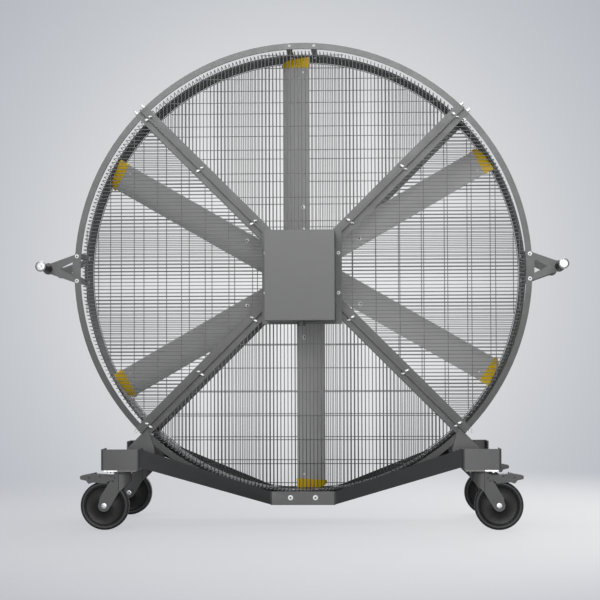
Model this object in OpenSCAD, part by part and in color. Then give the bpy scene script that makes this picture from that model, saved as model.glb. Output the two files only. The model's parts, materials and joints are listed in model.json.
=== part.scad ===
// Mobile drum fan on four braked swivel casters. Millimetres, +Z up, +X right, front (motor side) towards -Y.
// Depths are measured back from the front ring's front face and then shifted so that the part is centred in Y.

/* [Drum] */
// Outer diameter of the two drum rings
ring_od = 1500; // [1300:10:1600]
// Radial width of a ring's flat face
ring_w = 20; // [18:1:24]
// Thickness of a ring's flat face
ring_t = 4; // [3:0.5:5]
// Depth of the rolled leg behind a ring's face
ring_leg = 24; // [20:1:30]
// Depth of the drum over both rings
drum_depth = 254; // [250:2:300]
// Height of the rings above the floor
ring_lift = 80; // [80:1:150]
// Distance from the front ring back to the sheet drum shell
shell_front = 106; // [90:2:112]
// Thickness of the drum shell
shell_t = 2; // [1.5:0.5:2]

/* [Guards] */
// Wire thickness
wire = 3; // [2:0.5:3]
// Pitch of the close wires
wire_pitch = 12; // [12:1:20]
// Pitch of the cross wires
cross_pitch = 78; // [70:2:100]
// Distance from the axis to the first cross wire
cross_first = 163; // [150:1:175]

/* [Struts] */
// Width of one strut angle's flat
strut_w = 24; // [20:1:28]
// Height of the strut angles' bolted fins
fin_h = 20; // [18:1:24]
// Sheet thickness of the strut angles
strut_t = 3; // [2:0.5:4]
// Size of the bolts that hold the frame together
bolt_d = 8; // [6:1:8]

/* [Motor] */
// Width of the motor cover
cover_w = 220; // [210:2:240]
// Height of the motor cover
cover_h = 284; // [260:2:300]
// Depth of the motor cover
cover_d = 210; // [205:2:240]
// Distance from the fan axis up to the cover's top
cover_above = 115; // [110:1:120]
// Sheet thickness of the cover
cover_t = 2; // [1:0.5:3]
// Clearance between the motor's fins and the inside of the cover
motor_gap = 10; // [2:1:30]
// Drive shaft diameter
shaft_d = 28; // [20:1:32]

/* [Fan] */
// Clearance between the blade tip caps and the wires round the drum
tip_gap = 7; // [7:1:60]
// Chord of a blade
chord = 110; // [90:1:124]
// Blade pitch from the plane of rotation
pitch = 35; // [25:1:46]
// Sheet thickness of a blade
blade_t = 3; // [2:0.5:4]
// Hub diameter
hub_d = 120; // [100:2:140]

/* [Handles] */
// Distance from the rings' edge out to a grip's axis
grip_out = 87; // [75:1:110]
// Height of the grips above the fan axis
grip_up = 10; // [0:1:20]
// Outer diameter of the rubber sleeve
grip_d = 27; // [24:1:30]
// Length of the rubber sleeve in front of the bracket
grip_len = 132; // [110:1:150]
// Diameter of the rod through both brackets
rod_d = 16; // [12:1:18]

/* [Base] */
// Distance from the rings' edge in to a caster's swivel axis
swivel_in = 182; // [160:1:190]
// Distance from the ring's face forward to the caster box's face
box_front = 217; // [210:1:230]
// Width of a caster box
box_w = 122; // [110:1:130]
// Height of a caster box
box_h = 66; // [60:1:72]
// Sheet thickness of the base
base_t = 4; // [3:0.5:5]
// Height of the base bar's middle plate
bar_h = 44; // [40:1:50]

/* [Casters] */
// Wheel diameter
wheel_d = 154; // [140:1:156]
// Tyre width
tyre_w = 38; // [32:1:38]
// Height of a caster's mounting face above its wheel
caster_head = 36.5; // [34:0.5:46]
// Trail of the wheel behind its swivel axis
trail = 55; // [45:1:60]
// Axle diameter
axle_d = 10; // [8:1:12]
// Radial clearance of a turning bore
bore_gap = 0.05; // [0.02:0.01:0.1]

/* [Hidden] */
$fn = 96;
CORNERS = ["fl", "fr", "rl", "rr"];
SIDES = ["top", "right", "bottom", "left"];

FRAME_GREY = [0.5, 0.5, 0.5];
BASE_GREY = [0.4, 0.4, 0.4];
WIRE_GREY = [0.45, 0.45, 0.45];
CHROME = [0.85, 0.85, 0.86];

// Number of blades: the part has one node for each
blades = 6;
// Small shared gaps and fits
seat_gap = 0.2;
run_gap = 0.3;
ring_r = ring_od / 2;
axis_h = ring_r + ring_lift;
grip_x = ring_r + grip_out;
swivel_x = ring_r - swivel_in;
caster_h = wheel_d + caster_head;
bolt_r = ring_r - 8;
leg_in = ring_r - ring_w + 3;
leg_t = 3;
strap_in = ring_r - ring_w;
strap_w = 20;
shell_r = strap_in - seat_gap;
pair_off = 40.5;
hole_d = bolt_d + 1;
base_back = drum_depth + box_front;
cover_back = -strut_t - fin_h - base_t;
cover_front = cover_back - cover_d;
y_centre = (cover_front + base_back) / 2;

// Fasteners: a washer and a round head that stand at z = 0 and a shank that goes down
head_d = 1.6 * bolt_d;
washer_d = 2.1 * bolt_d;
washer_t = 1.5;
module round_bolt(length) {
    cylinder(d = washer_d, h = washer_t);
    translate([0, 0, washer_t]) cylinder(d1 = head_d, d2 = head_d * 0.7, h = bolt_d * 0.55);
    translate([0, 0, -length]) cylinder(d = bolt_d, h = length);
}
module nut(size) {
    cylinder(d = size * 1.9, h = size * 0.8, $fn = 6);
}

// Frames of reference
module in_frame() {
    translate([0, -y_centre, 0]) children();
}
// Turns what points up from the axis to an angle counted from +X towards +Z
module at_angle(angle) {
    translate([0, 0, axis_h]) rotate([0, 90 - angle, 0]) children();
}
// The rear half is the front half seen in the drum's middle plane
module rear_copy() {
    translate([0, drum_depth, 0]) mirror([0, 1, 0]) children();
}
module both_ends() {
    children();
    rear_copy() children();
}
module left_right() {
    children();
    mirror([1, 0, 0]) children();
}

// Drum rings: a flat face with a rolled leg behind it and lugs for the strut bolts
lug_w = 56;
lug_t = 4;
lug_r = ring_r - lug_t - 1;
lug_bolt_y = 14;
module ring_body() {
    translate([0, 0, axis_h]) rotate([-90, 0, 0]) rotate_extrude($fn = 180) {
        translate([ring_r - ring_w, 0]) square([ring_w, ring_t]);
        translate([leg_in, 0]) square([leg_t, ring_leg]);
    }
    for (k = [0:3]) at_angle(45 + 90 * k)
        translate([-lug_w / 2, ring_t - 0.5, lug_r]) cube([lug_w, ring_leg - ring_t, lug_t]);
}
module ring_holes() {
    for (s = [-1, 1], up = [-1, 1])
        translate([s * pair_off, -1, axis_h + up * sqrt(bolt_r * bolt_r - pair_off * pair_off)])
            rotate([-90, 0, 0]) cylinder(d = hole_d, h = ring_t + 2);
    for (s = [-1, 1], up = [-1, 1])
        translate([s * handle_bolt_x, -1, axis_h + grip_up + up * pair_off])
            rotate([-90, 0, 0]) cylinder(d = hole_d, h = ring_t + 2);
    for (k = [0:3], s = [-1, 1]) at_angle(45 + 90 * k)
        translate([s * lug_bolt_x, lug_bolt_y, lug_r - 1]) cylinder(d = hole_d, h = lug_t + 2);
}
lug_bolt_x = 15;
handle_bolt_x = bolt_r;
module ring() {
    difference() {
        ring_body();
        ring_holes();
    }
}
module front_ring() {
    color(FRAME_GREY) in_frame() ring();
}
module rear_ring() {
    color(FRAME_GREY) in_frame() rear_copy() ring();
}

module drum_shell() {
    color([0.3, 0.3, 0.3]) in_frame() difference() {
        translate([0, 0, axis_h]) rotate([-90, 0, 0]) rotate_extrude($fn = 180)
            translate([shell_r - shell_t, shell_front]) square([shell_t, drum_depth - shell_front]);
        at_straps() translate([0, strap_bolt_y, shell_r - shell_t * 2]) cylinder(d = hole_d, h = shell_t * 4);
    }
}

// Straps that carry the shell from the front ring: two at the top, the bottom and each side
strap_t = leg_in - strap_in - seat_gap;
strap_reach = 64;
strap_end = shell_front + strap_reach;
strap_bolt_y = shell_front + strap_reach / 2;
strap_sides = [[90, 0], [270, 0], [0, grip_up], [180, grip_up]];
module at_straps() {
    for (side = strap_sides, s = [-1, 1])
        at_angle(side[0] + asin((s * pair_off + (side[0] == 180 ? -side[1] : side[1])) / strap_in))
            children();
}
module ring_straps() {
    color(BASE_GREY) in_frame() at_straps() difference() {
        translate([-strap_w / 2, ring_t + seat_gap, strap_in])
            cube([strap_w, strap_end - ring_t - seat_gap, strap_t]);
        translate([0, strap_bolt_y, strap_in - 1]) cylinder(d = bolt_d, h = strap_t + 2);
    }
}

// Struts: two angles back to back on each diagonal, with bolted fins that stand forward
strut_r0 = 45;
strut_r1 = ring_r - 0.5;
inner_bolt_r = 224;
middle_bolt_in = 278;
outer_bolt_in = 38;
bolt_radii = [inner_bolt_r, ring_r - middle_bolt_in, ring_r - outer_bolt_in];
fin_bolt_y = -strut_t - fin_h / 2 - 1;
module strut_pair(radii) {
    for (s = [-1, 1]) difference() {
        union() {
            translate([s > 0 ? seat_gap : -strut_w, -strut_t, strut_r0])
                cube([strut_w - seat_gap, strut_t, strut_r1 - strut_r0]);
            translate([s > 0 ? seat_gap : -strut_t - seat_gap, -strut_t - fin_h, strut_r0])
                cube([strut_t, strut_t + fin_h, strut_r1 - strut_r0]);
        }
        for (r = radii) translate([-strut_t * 2, fin_bolt_y, r]) rotate([0, 90, 0])
            cylinder(d = bolt_d, h = strut_t * 4);
    }
}
module front_strut(k) {
    color(FRAME_GREY) in_frame() at_angle(45 + 90 * (k - 1)) strut_pair(bolt_radii);
}
module rear_struts() {
    color(FRAME_GREY) in_frame() rear_copy() for (k = [0:3]) at_angle(45 + 90 * k)
        strut_pair([bolt_radii[0], bolt_radii[2]]);
}
module cross_bolt() {
    rotate([0, 90, 0]) {
        translate([0, 0, -strut_t * 2 - bolt_d]) cylinder(d = bolt_d, h = strut_t * 4 + bolt_d * 2);
        translate([0, 0, strut_t + seat_gap]) cylinder(d = washer_d * 0.95, h = washer_t);
        translate([0, 0, strut_t + seat_gap + washer_t]) cylinder(d = head_d, h = bolt_d * 0.7);
        translate([0, 0, -strut_t - seat_gap - washer_t]) cylinder(d = washer_d * 0.95, h = washer_t);
        translate([0, 0, -strut_t - seat_gap - washer_t - bolt_d * 0.8]) nut(bolt_d * 0.85);
    }
}
module lug_bolt() {
    translate([0, 0, lug_t]) {
        cylinder(d = washer_d, h = washer_t);
        translate([0, 0, washer_t]) nut(bolt_d);
        translate([0, 0, washer_t]) cylinder(d = bolt_d, h = bolt_d * 1.3);
    }
    translate([0, 0, -washer_t]) cylinder(d = bolt_d, h = lug_t + washer_t * 2);
    translate([0, 0, -bolt_d * 0.6]) cylinder(d = head_d * 0.8, h = bolt_d * 0.6);
}
module strut_bolts() {
    color(CHROME) in_frame() {
        for (k = [0:3]) at_angle(45 + 90 * k) for (r = bolt_radii)
            translate([0, fin_bolt_y, r]) cross_bolt();
        rear_copy() for (k = [0:3]) at_angle(45 + 90 * k) for (r = [bolt_radii[0], bolt_radii[2]])
            translate([0, fin_bolt_y, r]) cross_bolt();
        both_ends() for (k = [0:3], s = [-1, 1]) at_angle(45 + 90 * k)
            translate([s * lug_bolt_x, lug_bolt_y, lug_r]) lug_bolt();
    }
}

// Guards: four welded quarter panels. The close wires and the rim are one layer, the cross wires lie behind it
guard_r = shell_r - shell_t;
guard_y = seat_gap;
weld_gap = 0.1;
weld_sink = 0.3;
cross_y = guard_y + wire + weld_gap;
basket_out = guard_r - 1.5;
basket_in = basket_out - wire;
panel_gap = 2;
core_r = 60;
dense_half = floor(basket_out * sin(45) / wire_pitch);
cross_last = floor((basket_in - cross_first) / cross_pitch);
// Height at which a wire of the rim circle's inside ends, at a distance off the panel's middle
function rim_y(off) = sqrt(basket_out * basket_out - pow(abs(off) + wire / 2, 2));
module comb_2d() {
    for (k = [-dense_half:dense_half]) {
        x = k * wire_pitch;
        low = max(abs(x) + wire / 2 + panel_gap, core_r);
        translate([x - wire / 2, low]) square([wire, rim_y(x) - wire / 2 - low]);
    }
    intersection() {
        difference() {
            circle(r = basket_out, $fn = 180);
            circle(r = basket_in, $fn = 180);
        }
        polygon([[0, panel_gap], [guard_r, guard_r + panel_gap], [-guard_r, guard_r + panel_gap]]);
    }
}
module cross_2d() {
    for (k = [0:cross_last]) {
        z = cross_first + k * cross_pitch;
        half = min(z - panel_gap - wire, sqrt(basket_in * basket_in - z * z) - wire * 2);
        translate([-half, z - wire / 2]) square([half * 2, wire]);
    }
}
module guard(k) {
    at_angle(90 - 90 * k) rotate([90, 0, 0]) {
        translate([0, 0, -guard_y - wire]) linear_extrude(wire) comb_2d();
        translate([0, 0, -cross_y - wire]) linear_extrude(wire) cross_2d();
    }
}
module front_guard(k) {
    color(WIRE_GREY) in_frame() guard(k);
}
module rear_guard(k) {
    color(WIRE_GREY) in_frame() rear_copy() guard(k);
}
// The close wires' bent-back ends and the rod that joins them in front of the shell
module guard_basket() {
    color(WIRE_GREY) in_frame() {
        for (q = [0:3], k = [-dense_half:dense_half]) at_angle(90 * q)
            translate([k * wire_pitch - wire / 2, guard_y + wire, rim_y(k * wire_pitch) - wire - weld_sink])
                cube([wire, shell_front - guard_y - wire * 1.5, wire]);
        translate([0, 0, axis_h]) rotate([-90, 0, 0]) rotate_extrude($fn = 180)
            translate([basket_in, shell_front - wire]) square([wire, wire]);
    }
}

// Motor, its plate and cover, and the rear bearing
plate_w = cover_w + 40;
plate_h = cover_h + 16;
cover_low = cover_h - cover_above;
cover_screw_x = cover_w / 2 + 9;
top_screw_in = 60;
low_screw_in = 94;
cover_screw_z = [cover_above - top_screw_in, low_screw_in - cover_low];
foot_w = 18;
foot_h = 26;
plate_hole_d = shaft_d + 14;
module motor_plate() {
    color(BASE_GREY) in_frame() translate([0, 0, axis_h]) difference() {
        translate([-plate_w / 2, cover_back, -cover_low - 8]) cube([plate_w, base_t, plate_h]);
        translate([0, cover_back - 1, 0]) rotate([-90, 0, 0]) cylinder(d = plate_hole_d, h = base_t + 2);
        for (s = [-1, 1], z = cover_screw_z) translate([s * cover_screw_x, cover_back - 1, z])
            rotate([-90, 0, 0]) cylinder(d = bolt_d, h = base_t + 2);
    }
}
module motor_cover() {
    color(FRAME_GREY) in_frame() translate([0, 0, axis_h]) difference() {
        union() {
            translate([-cover_w / 2, cover_front, -cover_low]) cube([cover_w, cover_d, cover_h]);
            for (s = [-1, 1], z = cover_screw_z)
                translate([s > 0 ? cover_w / 2 - 1 : -cover_w / 2 - foot_w + 1, cover_back - cover_t, z - foot_h / 2])
                    cube([foot_w, cover_t, foot_h]);
        }
        translate([-cover_w / 2 + cover_t, cover_front + cover_t, -cover_low + cover_t])
            cube([cover_w - cover_t * 2, cover_d, cover_h - cover_t * 2]);
        for (s = [-1, 1], z = cover_screw_z) translate([s * cover_screw_x, cover_back - cover_t - 1, z])
            rotate([-90, 0, 0]) cylinder(d = bolt_d, h = cover_t + 2);
        translate([0, gland_y, -cover_low - 1]) cylinder(d = gland_d, h = cover_t + 2);
    }
}
gland_d = 16;
gland_bore = 10;
gland_in = 60;
gland_y = cover_back - gland_in;
module cable_gland() {
    color([0.15, 0.15, 0.15]) in_frame() translate([0, gland_y, axis_h - cover_low]) difference() {
        union() {
            translate([0, 0, -16]) cylinder(d = gland_d + 8, h = 16, $fn = 6);
            cylinder(d = gland_d - 0.2, h = cover_t + 8);
            translate([0, 0, cover_t]) cylinder(d = gland_d + 8, h = 5, $fn = 6);
        }
        translate([0, 0, -17]) cylinder(d = gland_bore, h = cover_t + 30);
    }
}
motor_len = cover_d - 24;
motor_bell = 20;
motor_fin_t = 4;
motor_fin_out = 3;
motor_d = min(cover_w, cover_above * 2) - (cover_t + motor_fin_out + motor_gap) * 2;
motor_fin_start = 24;
motor_bore_depth = 46;
module motor_body() {
    color([0.25, 0.3, 0.35]) in_frame() translate([0, cover_back, axis_h]) rotate([90, 0, 0]) difference() {
        union() {
            cylinder(d = motor_d, h = motor_len - motor_bell);
            cylinder(d = motor_d * 0.75, h = motor_len);
            for (a = [0:15:359]) rotate(a) translate([motor_d / 2 - motor_fin_out, -motor_fin_t / 2, motor_fin_start])
                cube([motor_fin_out * 2, motor_fin_t, motor_len - motor_fin_start * 2.5]);
        }
        translate([0, 0, -1]) cylinder(d = shaft_d + bore_gap * 2, h = motor_bore_depth + 1);
    }
}
bearing_y = drum_depth + strut_t + fin_h;
bearing_plate_w = 170;
bearing_d = 90;
bearing_len = 26;
flange_w = 120;
flange_t = 10;
module bearing_plate() {
    color(BASE_GREY) in_frame() translate([0, bearing_y, axis_h]) difference() {
        translate([-bearing_plate_w / 2, 0, -bearing_plate_w / 2])
            cube([bearing_plate_w, base_t, bearing_plate_w]);
        translate([0, -1, 0]) rotate([-90, 0, 0]) cylinder(d = plate_hole_d, h = base_t + 2);
    }
}
module shaft_bearing() {
    color([0.35, 0.38, 0.4]) in_frame() translate([0, bearing_y + base_t, axis_h]) rotate([-90, 0, 0])
        difference() {
            union() {
                translate([-flange_w / 2, -flange_w / 2, 0]) cube([flange_w, flange_w, flange_t]);
                cylinder(d = bearing_d, h = bearing_len);
            }
            translate([0, 0, -1]) cylinder(d = shaft_d + bore_gap * 2, h = bearing_len + 2);
        }
}

// Fan: shaft, hub with six arms, blades and tip caps
blade_y = drum_depth / 2;
lead_bend = 9;
bend_at = -20;
chord_shift = 25;
arm_w = 40;
arm_t = 6;
arm_r = 236;
arm_root = 30;
arm_u = chord_shift / cos(pitch);
blade_r0 = 100;
tip_r = basket_in - tip_gap;
cap_len = 30;
cap_r0 = tip_r - cap_len;
cap_wall = 2.2;
cap_floor = 4;
hub_y = blade_y - arm_u * sin(pitch);
hub_len = 50;
screw_radii = [141, 217];
screw_d = 8;
screw_head_h = 4.5;
shaft_front = cover_back - motor_bore_depth + 4;
shaft_back = bearing_y + base_t + bearing_len + 4;
module drive_shaft() {
    color([0.7, 0.7, 0.72]) in_frame() translate([0, shaft_front, axis_h]) rotate([-90, 0, 0])
        cylinder(d = shaft_d, h = shaft_back - shaft_front);
}
module in_chord() {
    translate([-chord_shift, blade_y]) rotate(-pitch) children();
}
module blade_2d(grow) {
    half = chord / 2;
    polygon([
        [-half - grow, lead_bend - grow], [bend_at, -grow], [half + grow, -grow],
        [half + grow, blade_t + grow], [bend_at, blade_t + grow], [-half - grow, lead_bend + blade_t + grow]
    ]);
}
module blade_holes() {
    for (r = screw_radii) translate([0, hub_y, r]) rotate([0, 0, -pitch]) rotate([-90, 0, 0])
        translate([0, 0, -hub_len]) cylinder(d = screw_d, h = hub_len * 2);
}
module blade_hub() {
    color([0.4, 0.4, 0.4]) in_frame() difference() {
        union() {
            translate([0, hub_y - hub_len / 2, axis_h]) rotate([-90, 0, 0]) cylinder(d = hub_d, h = hub_len);
            for (k = [0:blades - 1]) at_angle(30 + 60 * k) difference() {
                translate([0, 0, arm_root]) linear_extrude(arm_r - arm_root) in_chord()
                    translate([arm_u - arm_w / 2, blade_t]) square([arm_w, arm_t]);
                blade_holes();
            }
        }
        translate([0, hub_y - hub_len, axis_h]) rotate([-90, 0, 0])
            cylinder(d = shaft_d + bore_gap, h = hub_len * 2);
    }
}
module blade(k) {
    color([0.5, 0.5, 0.5]) in_frame() at_angle(30 + 60 * (k - 1)) difference() {
        translate([0, 0, blade_r0]) linear_extrude(tip_r - cap_floor - blade_r0) in_chord() blade_2d(0);
        blade_holes();
    }
}
module blade_tips() {
    color([0.8, 0.6, 0.1]) in_frame() for (k = [0:blades - 1]) at_angle(30 + 60 * k) difference() {
        translate([0, 0, cap_r0]) linear_extrude(tip_r - cap_r0) in_chord() blade_2d(cap_wall);
        translate([0, 0, cap_r0 - 1]) linear_extrude(tip_r - cap_floor - cap_r0 + 1 + seat_gap) in_chord()
            blade_2d(seat_gap);
    }
}
module blade_screws() {
    color(CHROME) in_frame() for (k = [0:blades - 1], r = screw_radii) at_angle(30 + 60 * k)
        translate([0, hub_y, r]) rotate([0, 0, -pitch]) rotate([-90, 0, 0]) {
            translate([0, 0, -washer_t]) cylinder(d = screw_d, h = washer_t + blade_t + arm_t + screw_d);
            translate([0, 0, -washer_t]) cylinder(d = screw_d * 2, h = washer_t);
            translate([0, 0, -washer_t - screw_head_h]) cylinder(d = screw_d * 1.6, h = screw_head_h);
            translate([0, 0, blade_t + arm_t]) nut(screw_d);
        }
}

// Handles: two V plates a side, a rod through both and a rubber sleeve in front
plate_front = ring_t + seat_gap;
v_t = 4;
v_leg = 20;
v_in = leg_in + leg_t + 1;
v_half = pair_off + v_leg / 2;
v_tip = 19;
v_end = v_tip - 1;
v_tip_x = grip_x - 8;
v_open = v_half - v_leg - 9;
v_open_x = grip_x - v_tip - 16;
grip_z = axis_h + grip_up;
module v_plate() {
    translate([0, plate_front + v_t, grip_z]) rotate([90, 0, 0]) linear_extrude(v_t) difference() {
        union() {
            polygon([[v_in, -v_half], [v_tip_x, -v_end], [grip_x, -v_end], [grip_x, v_end], [v_tip_x, v_end],
                [v_in, v_half]]);
            translate([grip_x, 0]) circle(r = v_tip);
        }
        polygon([[v_in + v_leg, -v_open], [v_open_x, 0], [v_in + v_leg, v_open]]);
        translate([grip_x, 0]) circle(d = rod_d + 0.2);
        for (s = [-1, 1]) translate([handle_bolt_x, s * pair_off]) circle(d = bolt_d);
    }
}
module handle_brackets() {
    color(FRAME_GREY) in_frame() both_ends() left_right() v_plate();
}
cap_d = 34;
cap_t = 5;
sleeve_front = plate_front - seat_gap - grip_len;
module handle_rods() {
    color(CHROME) in_frame() left_right() translate([grip_x, 0, grip_z]) {
        translate([0, sleeve_front - cap_t, 0]) rotate([-90, 0, 0])
            cylinder(d = rod_d, h = drum_depth - sleeve_front + cap_t + 8);
        translate([0, sleeve_front - cap_t, 0]) rotate([-90, 0, 0]) cylinder(d = cap_d, h = cap_t);
        translate([0, drum_depth - ring_t, 0]) rotate([-90, 0, 0]) nut(rod_d * 0.9);
    }
}
module handle_grips() {
    color([0.1, 0.1, 0.1]) in_frame() left_right() translate([grip_x, sleeve_front, grip_z])
        rotate([-90, 0, 0]) difference() {
            cylinder(d = grip_d, h = grip_len);
            translate([0, 0, -1]) cylinder(d = rod_d + 0.2, h = grip_len + 2);
        }
}

// Screws: ring to handles and base, straps to shell, cover to its plate
module frame_screws() {
    color(CHROME) in_frame() {
        both_ends() {
            for (s = [-1, 1], up = [-1, 1])
                translate([s * handle_bolt_x, 0, grip_z + up * pair_off]) rotate([90, 0, 0])
                    round_bolt(ring_t + v_t + 8);
            for (s = [-1, 1])
                translate([s * pair_off, -base_t, axis_h - sqrt(bolt_r * bolt_r - pair_off * pair_off)])
                    rotate([90, 0, 0]) round_bolt(ring_t + base_t + 10);
        }
        at_straps() translate([0, strap_bolt_y, shell_r - shell_t]) {
            translate([0, 0, -bolt_d * 0.5 - seat_gap]) cylinder(d = head_d, h = bolt_d * 0.5);
            translate([0, 0, -1]) cylinder(d = bolt_d, h = shell_t + strap_t + 8);
        }
        for (s = [-1, 1], z = cover_screw_z)
            translate([s * cover_screw_x, cover_back - cover_t, axis_h + z]) rotate([90, 0, 0])
                round_bolt(cover_t + base_t + 6);
    }
}

// Base: a bent bar with a caster box at each end
bar_mid = 105;
bar_z0 = axis_h - ring_r - 15;
arm_start = [bar_mid - 2, -base_t / 2];
arm_sink = 1;
box_r = 9;
box_side = 100;
box_in_x = swivel_x - box_w / 2;
box_top = caster_h + box_h;
arm_end_y = -box_front + box_r + base_t + 2;
arm_plan = atan2(arm_end_y - arm_start[1], box_in_x - arm_start[0]);
arm_len = norm([arm_end_y - arm_start[1], box_in_x - arm_start[0]]);
arm_over = 20;
arm_end_z0 = caster_h + 14;
plate_y = 114;
swivel_front = box_front - plate_y / 2;
module base_arm() {
    intersection() {
        translate([arm_start[0], arm_start[1], 0]) rotate([0, 0, arm_plan]) rotate([90, 0, 0])
            linear_extrude(base_t) polygon([
                [0, bar_z0 + arm_sink], [arm_len + arm_over, arm_end_z0], [arm_len + arm_over, box_top],
                [arm_len, box_top], [0, bar_z0 + bar_h - arm_sink]
            ]);
        translate([0, -box_front, bar_z0]) cube([box_in_x, box_front, box_top - bar_z0]);
    }
}
module base_bar() {
    difference() {
        union() {
            translate([-bar_mid, -base_t, bar_z0]) cube([bar_mid * 2, base_t, bar_h]);
            left_right() base_arm();
        }
        for (s = [-1, 1])
            translate([s * pair_off, -base_t - 1, axis_h - sqrt(bolt_r * bolt_r - pair_off * pair_off)])
                rotate([-90, 0, 0]) cylinder(d = bolt_d, h = base_t + 2);
    }
}
module front_base_bar() {
    color(BASE_GREY) in_frame() base_bar();
}
module rear_base_bar() {
    color(BASE_GREY) in_frame() rear_copy() base_bar();
}
module round_square(size, radius) {
    translate([radius, 0]) square([size[0] - radius * 2, size[1]]);
    translate([0, radius]) square([size[0], size[1] - radius]);
    for (x = [radius, size[0] - radius]) translate([x, radius]) circle(r = radius);
}
module caster_box() {
    translate([box_in_x, -box_front, caster_h]) {
        linear_extrude(box_h) difference() {
            round_square([box_w, box_side], box_r);
            translate([base_t, base_t]) round_square([box_w - base_t * 2, box_side], box_r - base_t);
        }
        difference() {
            linear_extrude(base_t) round_square([box_w, box_front - strut_t], box_r);
            for (x = [-plate_hole_x, plate_hole_x], y = [-plate_hole_y, plate_hole_y])
                translate([box_w / 2 + x, box_front - swivel_front + y, -1]) cylinder(d = bolt_d, h = base_t + 2);
        }
    }
}
module caster_boxes() {
    color(BASE_GREY) in_frame() both_ends() left_right() caster_box();
}
// Gusset: stands on the caster box's floor and lies along the strut's fin
gusset_t = 4;
gusset_foot = caster_h + base_t;
gusset_top_r = bolt_radii[2] + washer_d / 4;
gusset_in = 21;
module gusset() {
    diagonal = sin(45);
    step = (strut_t + seat_gap * 2) / diagonal;
    top_x = gusset_top_r * diagonal;
    out_x = swivel_x + 5;
    translate([0, -strut_t, 0]) rotate([90, 0, 0]) linear_extrude(gusset_t) polygon([
        [top_x, axis_h - top_x - step], [out_x, axis_h - out_x - step], [out_x, gusset_foot],
        [top_x - gusset_in, gusset_foot], [top_x - gusset_in, box_top - 8]
    ]);
}
module gussets() {
    color(BASE_GREY) in_frame() both_ends() left_right() gusset();
}

// Casters: each is drawn with its swivel axis at the origin and its wheel towards +X
plate_x = 102;
plate_t = 4;
plate_hole_x = 36;
plate_hole_y = 46;
boss_d = 62;
boss_t = 4;
pin_d = 14;
crown_t = 5;
pin_len = crown_t + run_gap + 2;
crown_top = caster_h - plate_t - boss_t - run_gap;
leg_gap = tyre_w / 2 + 5;
leg_thick = 4;
leg_round = 21;
crown_back = 34;
crown_x = 27;
wheel_r = wheel_d / 2;
module at_caster(k) {
    side = (k % 2 == 0) ? -1 : 1;
    depth = (k < 2) ? -swivel_front : drum_depth + swivel_front;
    in_frame() translate([side * swivel_x, depth, 0]) scale_x(side) children();
}
module scale_x(side) {
    if (side < 0) mirror([1, 0, 0]) children();
    else children();
}
module caster_plate() {
    translate([0, 0, caster_h - plate_t]) difference() {
        translate([-plate_x / 2, -plate_y / 2, 0]) cube([plate_x, plate_y, plate_t]);
        for (x = [-plate_hole_x, plate_hole_x], y = [-plate_hole_y, plate_hole_y])
            translate([x, y, -1]) cylinder(d = bolt_d + 0.4, h = plate_t + 2);
    }
    translate([0, 0, caster_h - plate_t - boss_t]) cylinder(d = boss_d, h = boss_t);
    translate([0, 0, caster_h - plate_t - boss_t - pin_len]) cylinder(d = pin_d, h = pin_len);
}
module plate_bolts() {
    for (x = [-plate_hole_x, plate_hole_x], y = [-plate_hole_y, plate_hole_y])
        translate([x, y, caster_h - plate_t]) {
            translate([0, 0, -bolt_d * 0.6]) cylinder(d = head_d, h = bolt_d * 0.6);
            translate([0, 0, -1]) cylinder(d = bolt_d - 0.2, h = plate_t + base_t + 6);
            translate([0, 0, plate_t + base_t]) nut(bolt_d);
        }
}
module caster_plates() {
    color([0.75, 0.75, 0.72]) for (k = [0:3]) at_caster(k) {
        caster_plate();
        plate_bolts();
    }
}
module fork_leg_2d() {
    polygon([[-crown_back, crown_top - 10], [-crown_back, crown_top], [crown_x, crown_top],
        [trail + leg_round - 3, wheel_r + 20], [trail + leg_round, wheel_r], [trail - leg_round, wheel_r],
        [14, wheel_r + 32]]);
    translate([trail, wheel_r]) circle(r = leg_round);
}
pedal_pin_x = 24;
pedal_pin_z = crown_top - 13;
pedal_pin_d = 6;
pedal_eye_r = 7.5;
module fork() {
    difference() {
        union() {
            translate([-crown_back, -leg_gap - leg_thick, crown_top - crown_t])
                cube([crown_back + crown_x, (leg_gap + leg_thick) * 2, crown_t]);
            for (s = [-1, 1]) translate([0, s > 0 ? leg_gap + leg_thick : -leg_gap, 0]) rotate([90, 0, 0])
                linear_extrude(leg_thick) fork_leg_2d();
        }
        translate([0, 0, crown_top - crown_t - 1]) cylinder(d = pin_d + bore_gap * 2, h = crown_t + 2);
        translate([trail, 0, wheel_r]) rotate([90, 0, 0])
            cylinder(d = axle_d, h = leg_gap * 4, center = true);
        translate([pedal_pin_x, 0, pedal_pin_z]) rotate([90, 0, 0])
            cylinder(d = pedal_pin_d, h = leg_gap * 4, center = true);
    }
}
axle_head_d = 20;
module axle() {
    translate([trail, 0, wheel_r]) rotate([90, 0, 0]) {
        cylinder(d = axle_d, h = (leg_gap + leg_thick) * 2, center = true);
        for (s = [0, 1]) mirror([0, 0, s]) translate([0, 0, leg_gap + leg_thick])
            cylinder(d1 = axle_head_d, d2 = axle_head_d - 3, h = 4);
    }
    translate([pedal_pin_x, 0, pedal_pin_z]) rotate([90, 0, 0])
        cylinder(d = pedal_pin_d, h = (leg_gap + leg_thick) * 2 + 2, center = true);
}
module caster_fork(k) {
    color(BASE_GREY) at_caster(k) {
        fork();
        axle();
    }
}
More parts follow.
